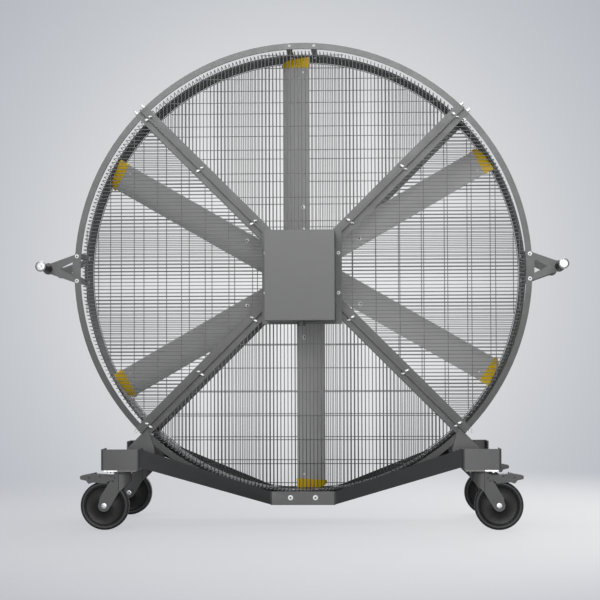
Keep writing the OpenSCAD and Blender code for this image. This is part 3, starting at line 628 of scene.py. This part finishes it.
def tyre(centre):
    """A tyre: a crowned tread with round shoulders, side walls and a step down to the rim's groove."""
    shoulder = np.radians(np.linspace(12, 90, 8))
    half = np.stack([68.0 + 9.0 * np.sin(shoulder), 10.0 + 8.8 * np.cos(shoulder)], -1)
    tread = np.array([[WHEEL_R, 5.0], [WHEEL_R, -5.0]])
    wall = np.array([[66.0, -18.4], [65.0, -17.6], [64.4, -14.0], [60.2, -13.0]])
    outline = np.concatenate([half, tread, half[::-1] * [1, -1], wall, wall[::-1] * [1, -1]])
    return turned(outline, centre, (0, 1, 0), 128)


def rim(centre):
    """A wheel centre: round bead, shallow dished web and hub, mirrored about the middle plane."""
    bead = np.radians(np.linspace(0, 180, 7))
    bead = np.stack([61.4 + 1.9 * np.cos(bead), 14.6 + 1.9 * np.sin(bead)], -1)
    web = [(58.6, 14.0), (56.0, 13.4), (44.0, 12.6), (28.0, 13.2), (21.0, 15.0)]
    hub = [(17.5, 22.0), (15.0, 23.5), (5.3, 23.5)]
    half = np.array([(60.0, 11.0), *bead.tolist(), *web, *hub])
    return turned(np.concatenate([half, half[::-1] * [1, -1]]), centre, (0, 1, 0), 96)


RIB_COUNT, RIB_FOOT = 10, 9.0


def ribs(centre):
    """Low radial ribs on both faces of the web: flat wedges that stand a little proud of it."""
    t = (np.arange(RIB_COUNT) + 0.5) * 2 * np.pi / RIB_COUNT
    out = np.stack([np.cos(t), np.zeros(RIB_COUNT), np.sin(t)], -1)
    across = np.stack([-np.sin(t), np.zeros(RIB_COUNT), np.cos(t)], -1)
    parts = []
    for face in (-1, 1):
        rings = []
        for radius, high, half in ((20.0, 16.0, 1.4), (40.0, 13.3, 1.2), (56.0, 13.9, 1.0)):
            ring = [out * radius + across * half * s + np.array([0, face * h, 0])
                    for s, h in ((-1, RIB_FOOT), (-0.7, high), (0.7, high), (1, RIB_FOOT))]
            rings.append(np.stack(ring, 1))
        points = np.stack(rings, 1) * MM + centre
        parts.append((points, tube_faces(RIB_COUNT, 3, 4)))
    return parts


# %% [markdown]
# The fork is one pressing: its two legs are joined behind the wheel by a rounded back, cut away on
# a slant below, and by a crown on top. A bent sheet like that is its plan line given a height: the
# line runs down one leg, round the back and up the other, and at each of its points the sheet has a
# lower and an upper edge.

# %% The fork as one bent sheet


def fork_sheet(side, depth):
    """The sheet: its plan line, thickened, with a lower and an upper edge at each of its points.

    The line is a leg, a pressed step of 1.8 mm, half an ellipse of 38 mm by 24.2 mm round the back,
    and the other leg; the lower edge falls from the back to the axle boss.
    """
    half, step, bend_x, reach, top = 26.0, 1.8, 8.5, 38.0, 182.2
    boss_r, leg_top, half_sheet, lip = 19.0, 97.0, 2, 0.6
    turn = np.linspace(0, np.pi / 2, 15)
    leg = np.array([74.0, 73.0, 71.0, 68.0, 63.0, 55.0, 47.0, 41.0, 36.0, 27.0, 18.0, 11.0, 9.6])
    x = np.concatenate([leg, bend_x - reach * np.sin(turn)])
    y = np.concatenate([np.full(len(leg), half), (half - step) * np.cos(turn)])
    nx = np.concatenate([np.zeros(len(leg)), -np.sin(turn)])
    ny = np.concatenate([np.ones(len(leg)), np.cos(turn)])
    boss = np.sqrt(np.clip(boss_r ** 2 - (x - TRAIL) ** 2, 0, None))
    slant = np.interp(x, [-30, 9, 12, 36, 40], [158, 118, 112, 72, 65.3])
    low = np.where(x > 40, WHEEL_R - boss, slant)
    high = np.interp(x, [20, 72], [top, leg_top])
    high = np.where(x > 70, np.minimum(high, WHEEL_R + boss), high)
    x, y, nx, ny, low, high = [np.concatenate([a, s * a[::-1]]) for a, s in
                               ((x, 1), (y, -1), (nx, 1), (ny, -1), (low, 1), (high, 1))]
    corners = ((-1, low + lip), (1, low + lip), (1, high - lip), (-1, high - lip))
    ring = np.stack([np.stack([x + s * nx * half_sheet, y + s * ny * half_sheet, height], -1)
                     for s, height in corners], 1)
    place = np.array([side * SWIVEL_X * MM, float(at_depth(depth)), 0])
    return ring * MM * np.array([side, 1, 1]) + place, tube_faces(1, len(x), 4)


# %% Heads on the cheeks, and what is turned about the swivel axis
RIVET_HEAD = [(ON_AXIS, -0.4), (3.4, -0.4), (3.2, 0.5), (2.0, 0.9), (ON_AXIS, 1.0)]
AXLE_HEAD = fillet([(ON_AXIS, -0.5), (10.0, -0.5), (9.4, 3.4), (ON_AXIS, 4.0)], 1.2, 3)
CUP = [(7.2, 182.4), (29.0, 182.4), (32.0, 184.0), (32.0, 186.7), (7.2, 186.7)]
CROWN = [(7.2, 171.5), (17.0, 171.5), (19.0, 177.0), (25.5, 177.0), (27.5, 181.0), (26.0, 182.2),
         (7.2, 182.2)]


def heads(side, depth, outline, places, face_y, steps):
    """Domed heads on both cheeks, at (x, z) places in mm from the swivel axis and the floor."""
    parts = []
    for x, z in places:
        for face in (-1, 1):
            centre = (side * (SWIVEL_X + x) * MM, float(at_depth(depth)) + face * face_y * MM, z * MM)
            parts.append(turned(outline, centre, (0, face, 0), steps))
    return parts


def about_swivel(side, depth, outline):
    """The bearing's cup or the fork's crown with its race: an outline turned about the swivel axis."""
    centre = (side * SWIVEL_X * MM, float(at_depth(depth)), 0)
    return turned(fillet(outline, 1.0, 3), centre, (0, 0, 1), 64)


# %% Four dressed casters
PEDAL_RIVETS, PEDAL_FACE = ((68, 170.5), (103, 166)), 23
FORK_RIVETS, FORK_FACE = ((20, 166), (27, 156)), 28
for corner, (side, depth) in CASTERS.items():
    # The trail carries the wheel outwards from its swivel axis
    centre = np.array([side * (SWIVEL_X + TRAIL) * MM, float(at_depth(depth)), WHEEL_R * MM])
    roller, caster, brake = "roller_" + corner, "caster_" + corner, "brake_" + corner
    make_piece("tyre_tread_" + corner, [tyre(centre)], roller, "tyre_rubber", ["tyre_" + corner])
    wheel = [rim(centre)] + ribs(centre)
    make_piece("wheel_rim_" + corner, wheel, roller, "hub_plastic", ["wheel_" + corner])
    fork = [fork_sheet(side, depth), about_swivel(side, depth, CROWN)]
    make_piece("fork_sheet_" + corner, fork, caster, "base_paint", ["fork_" + corner], smooth=50)
    axle = heads(side, depth, AXLE_HEAD, [(TRAIL, WHEEL_R)], FORK_FACE, 48)
    make_piece("axle_heads_" + corner, axle, caster, "bright_steel")
    soften("pedal_" + corner, 0.7, brake)
    pedal_rivets = heads(side, depth, RIVET_HEAD, PEDAL_RIVETS, PEDAL_FACE, 16)
    make_piece("pedal_rivets_" + corner, pedal_rivets, brake, "black_plastic")
    fork_rivets = heads(side, depth, RIVET_HEAD, FORK_RIVETS, FORK_FACE, 16)
    make_piece("fork_rivets_" + corner, fork_rivets, caster, "black_plastic")
    cup = about_swivel(side, depth, CUP)
    make_piece("bearing_cup_" + corner, [cup], "frame", "base_paint")
print("casters:", len(CASTERS))

# %% [markdown]
# ## Handles
# A steel rod runs through both brackets of a side. In front of the drum it carries a rubber sleeve
# with a rounded end, closed by a bright disc. All of it is turned about the rod's own axis.

# %% Sleeves and rods
GRIP_X = 837.0
SLEEVE_BORE, ROD_R = 8.1, 8.0
GROOVE_PITCH, GROOVE_DEPTH, GROOVE_START, GROOVE_END = 8.0, 0.35, 128.0, 16.0
SLEEVE_R = 13.2


def grip_centre(side):
    """A point on the rod's axis at the front ring's face."""
    return (side * GRIP_X * MM, RING_FACE_Y, HANDLE_Z * MM)


def sleeve(side):
    """The sleeve: 136 mm long, with shallow grooves and a raised collar at the bracket.

    Groove depth = 0.35 (3 cos(2 pi z / 8) - 2), where that is above zero.
    """
    along = np.linspace(-GROOVE_START, -GROOVE_END, 113)
    wave = np.cos((along + GROOVE_START) * 2 * np.pi / GROOVE_PITCH)
    body = np.stack([SLEEVE_R - GROOVE_DEPTH * np.clip(wave * 3 - 2, 0, 1), along], -1)
    front = [(SLEEVE_BORE, -132.0), (12.0, -132.0), (13.0, -131.0)]
    back = [(13.3, -14.0), (13.5, -12.0), (13.5, 1.5), (12.8, 3.9), (SLEEVE_BORE, 3.9)]
    return turned(np.concatenate([front, body, back]), grip_centre(side), (0, 1, 0), 64)


def rod(side):
    """The rod with its front disc, whose face is slightly domed, and its round back end."""
    face = [(ON_AXIS, -136.2), (1.9, -136.2), (2.1, -138.1), (6.4, -138.2), (6.8, -137.5),
            (11.6, -137.4)]
    edge = [(12.2, -137.9), (15.6, -137.2), (17.0, -135.8), (17.0, -133.2), (16.0, -132.2)]
    shank = [(ROD_R, -132.0), (ROD_R, 260.5), (6.8, 262.0), (ON_AXIS, 262.0)]
    return turned(face + edge + shank, grip_centre(side), (0, 1, 0), 64)


def rod_nut(side):
    """The hexagonal nut on the rod's back end: a chamfered outline turned in six steps."""
    bore = ROD_R + 0.1
    outline = [(bore, 250.2), (12.8, 250.2), (13.7, 251.4), (13.7, 260.2), (12.8, 261.4), (bore, 261.4)]
    return turned(outline, grip_centre(side), (0, 1, 0), 6)


for name, side in (("left", -1), ("right", 1)):
    make_piece("sleeve_" + name, [sleeve(side)], "frame", "grip_rubber", ["handle_grips"])
    make_piece("rod_" + name, [rod(side), rod_nut(side)], "frame", "bright_steel", ["handle_rods"])
print("handle pieces: 4")

# %% [markdown]
# ## Finishes
# Powder coat, rubber, moulded plastic, zinc and chrome are told apart by three things: colour that
# drifts a little, roughness that is never quite even, and a fine surface grain. Each finish mixes
# the same few noise textures on Object coordinates, so a pattern keeps its real size and stays in
# place when a piece moves.

# %% Adding and filling shader nodes


def fill(tree, node, inputs):
    """Sets each named or numbered input of a node to a value, or links it to another node's output."""
    for place, value in inputs.items():
        if isinstance(value, bpy.types.NodeSocket):
            tree.links.new(value, node.inputs[place])
        else:
            node.inputs[place].default_value = value
    return node


def add_node(tree, kind, inputs=None, **settings):
    """Adds a shader node of a kind, with its settings first and then its inputs."""
    node = tree.nodes.new("ShaderNode" + kind)
    for name, value in settings.items():
        setattr(node, name, value)
    return fill(tree, node, inputs or {})


def new_material(name):
    """A material with nodes: returns it with its node tree."""
    material = bpy.data.materials.new(name)
    material.use_nodes = True
    return material, material.node_tree


# %% A node tree with drift, uneven gloss, grain and painted shade
CLOUD_SIZE, GLOSS_SIZE = 0.22, 0.035


def finish(name, colour, rough, grain, grain_size, metallic=0.0, drift=0.06, gloss_drift=0.08,
           specular=0.5, dust=0.0, painted_shade=None):
    """Makes a material: `grain` is the height and `grain_size` the width of its bumps in metres.

    Colour = colour * (1 +- drift), roughness = rough +- gloss_drift, height = grain * noise. The last
    argument paints shade, as (axis, start, end, share): from start to end in metres along the axis, on
    either side of zero, the colour goes over to share * colour, standing in for less light there.
    """
    material, tree = new_material(name)
    place = add_node(tree, "TexCoord").outputs["Object"]

    def noise(size, detail):
        """Noise with lumps of `size` metres."""
        inputs = {"Vector": place, "Scale": 1 / size, "Detail": detail}
        return add_node(tree, "TexNoise", inputs).outputs["Fac"]

    def blend(share, one, two):
        """One colour going over into the other by a share."""
        return add_node(tree, "Mix", {0: share, 6: one, 7: two}, data_type="RGBA").outputs[2]

    dark = (*[c * (1 - drift) for c in colour], 1)
    pale = (*[min(1, c * (1 + drift) + dust) for c in colour], 1)
    paint = blend(noise(CLOUD_SIZE, 3), dark, pale)
    # Painted shade: along one axis the colour goes over to share * colour, standing in for less light
    # there
    if painted_shade:
        axis, start, end, share = painted_shade
        along = add_node(tree, "SeparateXYZ", {0: place}).outputs["XYZ".index(axis)]
        size = add_node(tree, "Math", {0: along}, operation="ABSOLUTE").outputs[0]
        fall = add_node(tree, "MapRange", {"From Min": start, "From Max": end, "Value": size})
        paint = blend(fall.outputs["Result"], paint, (*[c * share for c in colour], 1))
    gloss = add_node(tree, "MapRange", {
        "To Min": max(0.02, rough - gloss_drift), "To Max": min(1, rough + gloss_drift),
        "Value": noise(GLOSS_SIZE, 4),
    })
    bump = add_node(tree, "Bump", {"Distance": grain, "Height": noise(grain_size, 2)})
    fill(tree, tree.nodes["Principled BSDF"], {
        "Base Color": paint, "Roughness": gloss.outputs["Result"], "Normal": bump.outputs["Normal"],
        "Metallic": metallic, "Specular IOR Level": specular,
    })
    return material


# %% The finishes: grain height and size in metres, then where each painted shade runs
POWDER, THIN_COAT, FINE_METAL = (0.00012, 0.0013), (0.00006, 0.0012), (0.00002, 0.0008)
# Painted shade, each darkening a finish along one axis: frame, cover, rings and wires towards the
# floor, the base bars' arms outward of 0.11 m, zinc plate inward of 0.575 m
FRAME_PAINTED_SHADE, RING_PAINTED_SHADE = ("Z", 1.5, 0.2, 0.48), ("Z", 1.5, 0.1, 0.22)
WIRE_PAINTED_SHADE, BAR_PAINTED_SHADE = ("Z", 0.42, 0.18, 0.08), ("X", 0.1, 0.11, 0.36)
ZINC_PAINTED_SHADE = ("X", 0.58, 0.575, 0.15)
FINISHES = {
    # Painted shade: the frame's coat darkens to 0.48 of its colour from Z = 1.5 m down to 0.2 m
    "frame_paint": finish("frame_powder_coat", (0.136, 0.136, 0.135), 0.48, *POWDER, metallic=0.35,
                          painted_shade=FRAME_PAINTED_SHADE),
    "base_paint": finish("base_powder_coat", (0.069, 0.069, 0.0695), 0.43, *POWDER, metallic=0.4),
    # Painted shade: the guard wires darken to 0.08 of their colour from Z = 0.42 m down to 0.18 m,
    # where less light falls
    "wire_paint": finish("wire_powder_coat", (0.13, 0.13, 0.129), 0.42, 0.00006, 0.0011,
                         painted_shade=WIRE_PAINTED_SHADE),
    "shell_paint": finish("drum_powder_coat", (0.024, 0.024, 0.025), 0.55, 0.00015, 0.0014,
                          specular=0.3),
    # Painted light: the blades' coat is much lighter than the frame's, making up for the light that the
    # drum keeps off them
    "blade_paint": finish("blade_powder_coat", (0.39, 0.39, 0.388), 0.48, *POWDER),
    "cast_paint": finish("cast_iron_paint", (0.07, 0.08, 0.09), 0.55, 0.0004, 0.003),
    "tyre_rubber": finish("tyre_rubber", (0.009, 0.009, 0.0095), 0.5, 0.00015, 0.0012, dust=0.003),
    "grip_rubber": finish("grip_rubber", (0.008, 0.008, 0.008), 0.55, 0.0001, 0.001),
    "hub_plastic": finish("hub_plastic", (0.007, 0.007, 0.0073), 0.36, 0.00004, 0.0015,
                          gloss_drift=0.05, specular=0.2),
    "black_plastic": finish("black_plastic", (0.012, 0.012, 0.012), 0.45, 0.00005, 0.001),
    "tip_plastic": finish("tip_plastic", (0.6, 0.4, 0.004), 0.42, *THIN_COAT, drift=0.1),
    "bright_steel": finish("bright_steel", (0.42, 0.42, 0.425), 0.33, *FINE_METAL, metallic=1.0,
                           gloss_drift=0.06),
    # Painted shade: zinc-plated parts go to 0.15 of their colour inward of |X| = 0.575 m and keep it
    # only outward of 0.58 m
    "zinc_plate": finish("zinc_plate", (0.68, 0.68, 0.66), 0.34, 0.00003, 0.002, metallic=1.0,
                         drift=0.1, painted_shade=ZINC_PAINTED_SHADE),
    "shaft_steel": finish("shaft_steel", (0.5, 0.5, 0.51), 0.3, 0.00003, 0.001, metallic=1.0),
    # Painted shade: the rings' coat darkens to 0.22 of its colour from Z = 1.5 m down to 0.1 m
    "ring_paint": finish("ring_powder_coat", (0.15, 0.15, 0.149), 0.48, *POWDER, metallic=0.35,
                         painted_shade=RING_PAINTED_SHADE),
    # Painted shade: the base bars' arms outward of |X| = 0.11 m darken to 0.36 of the colour, as they
    # turn away from the light
    "bar_paint": finish("bar_powder_coat", (0.068, 0.068, 0.0685), 0.4, *POWDER, painted_shade=BAR_PAINTED_SHADE),
    # Painted light: the straps' coat is lighter than the rings' so that their shaded undersides do not
    # read dark
    "strap_paint": finish("strap_coat_painted_lighter", (0.2, 0.2, 0.2), 0.46, *POWDER),
    # Painted shade: the motor plate's coat is a darker copy of the frame's coat
    "plate_paint": finish("plate_coat_painted_darker", (0.1, 0.1, 0.0995), 0.46, *POWDER),
    # Painted shade as on the frame: the cover's coat darkens towards the bottom
    "cover_paint": finish("cover_powder_coat", (0.136, 0.136, 0.135), 0.48, 0.00006, 0.0013,
                          metallic=0.35, drift=0.015, gloss_drift=0.02, painted_shade=FRAME_PAINTED_SHADE),
    "gland_grey": finish("gland_grey", (0.1, 0.1, 0.1), 0.5, *THIN_COAT),
    "screw_white": finish("screw_nickel", (0.62, 0.62, 0.62), 0.38, *FINE_METAL, metallic=0.35),
    "bolt_white": finish("bolt_zinc", (0.9, 0.9, 0.9), 0.3, *FINE_METAL, metallic=0.12),
    "fork_paint": finish("fork_powder_coat", (0.047, 0.047, 0.0475), 0.42, *POWDER),
}
OWN_FINISH = {
    "front_base_bar_soft": "bar_paint", "rear_base_bar_soft": "bar_paint",
    "ring_straps_soft": "strap_paint", "front_ring_soft": "ring_paint", "rear_ring_soft": "ring_paint",
    "motor_plate_soft": "plate_paint", "motor_cover_soft": "cover_paint",
    "cable_gland_soft": "gland_grey", "blade_fixings": "bolt_white",
    "strut_and_lug_bolts": "bolt_white", "ring_and_cover_screws": "screw_white",
}
print("finishes:", len(FINISHES))

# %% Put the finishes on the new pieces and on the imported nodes


def cover_with(obj, material):
    """Gives an object one material in its only slot."""
    if not obj.material_slots:
        obj.data.materials.append(material)
    for place in obj.material_slots:
        place.material = material


def finish_for(piece_name, slot_name):
    """Most pieces take their slot's finish; a few have their own, forks and pedals a darker grey."""
    if piece_name.startswith(("fork_sheet", "pedal")) and "rivets" not in piece_name:
        return FINISHES["fork_paint"]
    return FINISHES[OWN_FINISH.get(piece_name, slot_name)]


for piece_name, slot_name in finish_of.items():
    cover_with(bpy.data.objects[piece_name], finish_for(piece_name, slot_name))
for node_name, node_object in nodes.items():
    cover_with(node_object, FINISHES[slot_of[node_name]])
print("covered:", len(finish_of) + len(nodes))

# %% [markdown]
# ## Camera
# The photograph was taken with a long lens from a little right of the middle and low down, so that
# the drum's far edge shows inside its near one. A lens of 103.8 mm on a 36 mm sensor gives that
# angle.

# %% The photograph's viewpoint
LENS_LENGTH, SENSOR_WIDTH = 103.8, 36
CAMERA_PLACE, CAMERA_TARGET = (0.218, -5.767, 0.514), (-0.0077, RING_FACE_Y, 0.733)
CAMERA_ROLL = math.radians(-0.2)


def aim(obj, place, target, roll=0.0):
    """Puts an object at a place with its -Z towards a target, then rolls it about its line of sight."""
    back = np.array(place, float) - np.array(target, float)
    back /= np.linalg.norm(back)
    right = np.cross([0, 0, 1], back)
    right /= np.linalg.norm(right)
    up = np.cross(back, right)
    c, s = math.cos(roll), math.sin(roll)
    axes = [right * c + up * s, up * c - right * s, back]
    rows = [[*(axis[row] for axis in axes), place[row]] for row in range(3)]
    obj.matrix_world = Matrix(rows + [[0, 0, 0, 1]])


# The camera is aimed a little left of the fan's axis and below it
lens = bpy.data.cameras.new("photo_camera")
lens.lens = LENS_LENGTH
lens.sensor_width = SENSOR_WIDTH
camera = add_object("photo_camera", lens)
aim(camera, CAMERA_PLACE, CAMERA_TARGET, CAMERA_ROLL)
bpy.context.scene.camera = camera
print("camera:", camera.name)

# %% [markdown]
# ## Floor and studio
# The fan stands on a plain pale floor. Near the object the floor takes soft shadows; a few metres
# out it turns clear for the camera, so that the world behind shows through and no horizon can be
# seen.

# %% A floor that fades into the background
FADE_FROM, FADE_TO = 0.9, 3.2
# Painted light on the floor: the steady tone runs from a dim left to a bright right, 1.4 m either side
PAINTED_LIGHT_REACH, LEFT_PAINTED_LIGHT, RIGHT_PAINTED_LIGHT = 1.4, (0.55, 0.565, 0.6, 1), (0.88, 0.88, 0.895, 1)
STEADY_SHARE = 0.8


def floor_disc(reach=60.0, rings=24, around=96):
    """A flat disc: radius = reach * share^2, so that the rings are fine near the fan."""
    radius = reach * np.linspace(0, 1, rings + 1)[1:] ** 2
    t = np.arange(around) * 2 * np.pi / around
    x, y = radius[:, None] * np.cos(t), radius[:, None] * np.sin(t)
    points = np.stack([x, y, np.zeros((rings, around))], -1)
    i, a = np.meshgrid(np.arange(rings - 1), np.arange(around), indexing="ij")
    inner, outer, after = i * around, (i + 1) * around, (a + 1) % around
    quads = np.stack([inner + a, outer + a, outer + after, inner + after], -1)
    mesh = bpy.data.meshes.new("studio_floor")
    mesh.from_pydata(points.reshape(-1, 3), [], quads.reshape(-1, 4).tolist() + [list(range(around))])
    obj = add_object("studio_floor", mesh)
    return obj


def floor_material():
    """For the camera the floor mixes a steady tone with a lit one, and fades out further on.

    The steady tone carries painted light: it brightens from a dim left to a bright right along X.
    All other rays meet the lit floor alone.
    """
    material, tree = new_material("studio_floor")
    lit = fill(tree, tree.nodes["Principled BSDF"], {
        "Base Color": (0.6, 0.605, 0.62, 1), "Roughness": 0.75, "Specular IOR Level": 0.2,
    })
    place = add_node(tree, "TexCoord").outputs["Object"]
    for_camera = add_node(tree, "LightPath").outputs["Is Camera Ray"]

    def mix(share, one, two):
        """A share of the second shader over the first, for camera rays only."""
        factor = add_node(tree, "Math", {0: share, 1: for_camera}, operation="MULTIPLY")
        return add_node(tree, "MixShader", {0: factor.outputs[0], 1: one.outputs[0], 2: two.outputs[0]})

    length = add_node(tree, "VectorMath", {0: place}, operation="LENGTH").outputs["Value"]
    fade = add_node(tree, "MapRange", {"From Min": FADE_FROM, "From Max": FADE_TO, "Value": length},
                    interpolation_type="SMOOTHSTEP")
    # Painted light: along X the steady tone goes from a dim left to a bright right
    side = add_node(tree, "SeparateXYZ", {0: place}).outputs["X"]
    reach = {"From Min": -PAINTED_LIGHT_REACH, "From Max": PAINTED_LIGHT_REACH, "Value": side}
    share = add_node(tree, "MapRange", reach).outputs["Result"]
    painted_light_tone = add_node(tree, "Mix", {0: share, 6: LEFT_PAINTED_LIGHT, 7: RIGHT_PAINTED_LIGHT}, data_type="RGBA")
    steady = add_node(tree, "Emission", {"Color": painted_light_tone.outputs[2]})
    paler = mix(STEADY_SHARE, lit, steady)
    faded = mix(fade.outputs["Result"], paler, add_node(tree, "BsdfTransparent"))
    fill(tree, tree.nodes["Material Output"], {0: faded.outputs[0]})
    return material


cover_with(floor_disc(), floor_material())
print("floor ready")

# %% The world: a soft glow behind the fan for the camera, plain grey light for the object
# Each tone with its angle in degrees from GLOW_LINE, which runs from the camera through the fan
GLOW = ((0.0, (0.86, 0.86, 0.87)), (5.0, (0.78, 0.79, 0.8)), (7.6, (0.65, 0.66, 0.68)),
        (9.9, (0.56, 0.58, 0.61)), (14.0, (0.45, 0.47, 0.52)), (30.0, (0.42, 0.44, 0.49)))
GLOW_LINE = (-0.0385, 0.9977, 0.0558)
GLOW_END = GLOW[-1][0]
WORLD_LIGHT, LIGHT_TINT = 0.12, (0.93, 0.95, 1.0, 1)


def make_world():
    """The seen tone follows the angle from GLOW_LINE, both ways: angle = arccos |direction . line|."""
    world = bpy.data.worlds.new("studio")
    bpy.context.scene.world = world
    world.use_nodes = True
    tree = world.node_tree
    light = fill(tree, tree.nodes["Background"], {"Color": LIGHT_TINT, "Strength": WORLD_LIGHT})
    direction = add_node(tree, "TexCoord").outputs["Generated"]
    towards = add_node(tree, "VectorMath", {0: direction, 1: GLOW_LINE}, operation="DOT_PRODUCT")
    facing = add_node(tree, "Math", {0: towards.outputs["Value"]}, operation="ABSOLUTE")
    angle = add_node(tree, "Math", {0: facing.outputs[0]}, operation="ARCCOSINE")
    share = add_node(tree, "Math", {0: angle.outputs[0], 1: math.radians(GLOW_END)}, operation="DIVIDE")
    tone = add_node(tree, "ValToRGB", {"Fac": share.outputs[0]})
    stops = tone.color_ramp.elements
    for number, (degrees, colour) in enumerate(GLOW):
        stop = stops[number] if number < 2 else stops.new(1.0)
        stop.position = degrees / GLOW_END
        stop.color = (*colour, 1)
    seen = add_node(tree, "Background", {"Color": tone.outputs["Color"]})
    rays = add_node(tree, "LightPath").outputs
    direct = rays["Is Camera Ray"]
    for kind in ("Is Glossy Ray", "Is Transmission Ray"):
        direct = add_node(tree, "Math", {0: direct, 1: rays[kind]}, operation="MAXIMUM").outputs[0]
    blend = add_node(tree, "MixShader", {0: direct, 1: light.outputs[0], 2: seen.outputs[0]})
    fill(tree, tree.nodes["World Output"], {0: blend.outputs[0]})


make_world()
print("world ready")

# %% [markdown]
# ## Lamps
# A broad soft lamp behind the camera lights every face that looks forward and leaves turned faces
# dark, as on the photograph. A key from high on the left, one above and one behind draw light along
# the edges and the floor.

# %% Soft studio lamps


def area_lamp(name, place, size, power):
    """A square area lamp that looks at the middle of the drum."""
    light = bpy.data.lights.new(name, "AREA")
    light.size = size
    light.energy = power
    aim(add_object(name, light), place, (0.0, 0.0, AXIS_Z))


# Each lamp's place and width in metres, and its power in watts
LAMPS = {
    "front_lamp": ((0.2, -7.6, 2.1), 4.0, 345), "key_lamp": ((-1.4, -3.6, 4.6), 2.6, 60),
    "top_lamp": ((0.3, 0.6, 5.0), 3.0, 130), "back_lamp": ((1.5, 5.0, 3.5), 3.0, 130),
}
for name, (place, size, power) in LAMPS.items():
    area_lamp(name, place, size, power)
print("lamps:", len(LAMPS))

# %% [markdown]
# ## Colour view
# The scene's colours go out through the Standard view transform. The dressed object may not grow out
# of the imported model's box.

# %% The Standard view transform
bpy.context.scene.view_settings.view_transform = "Standard"
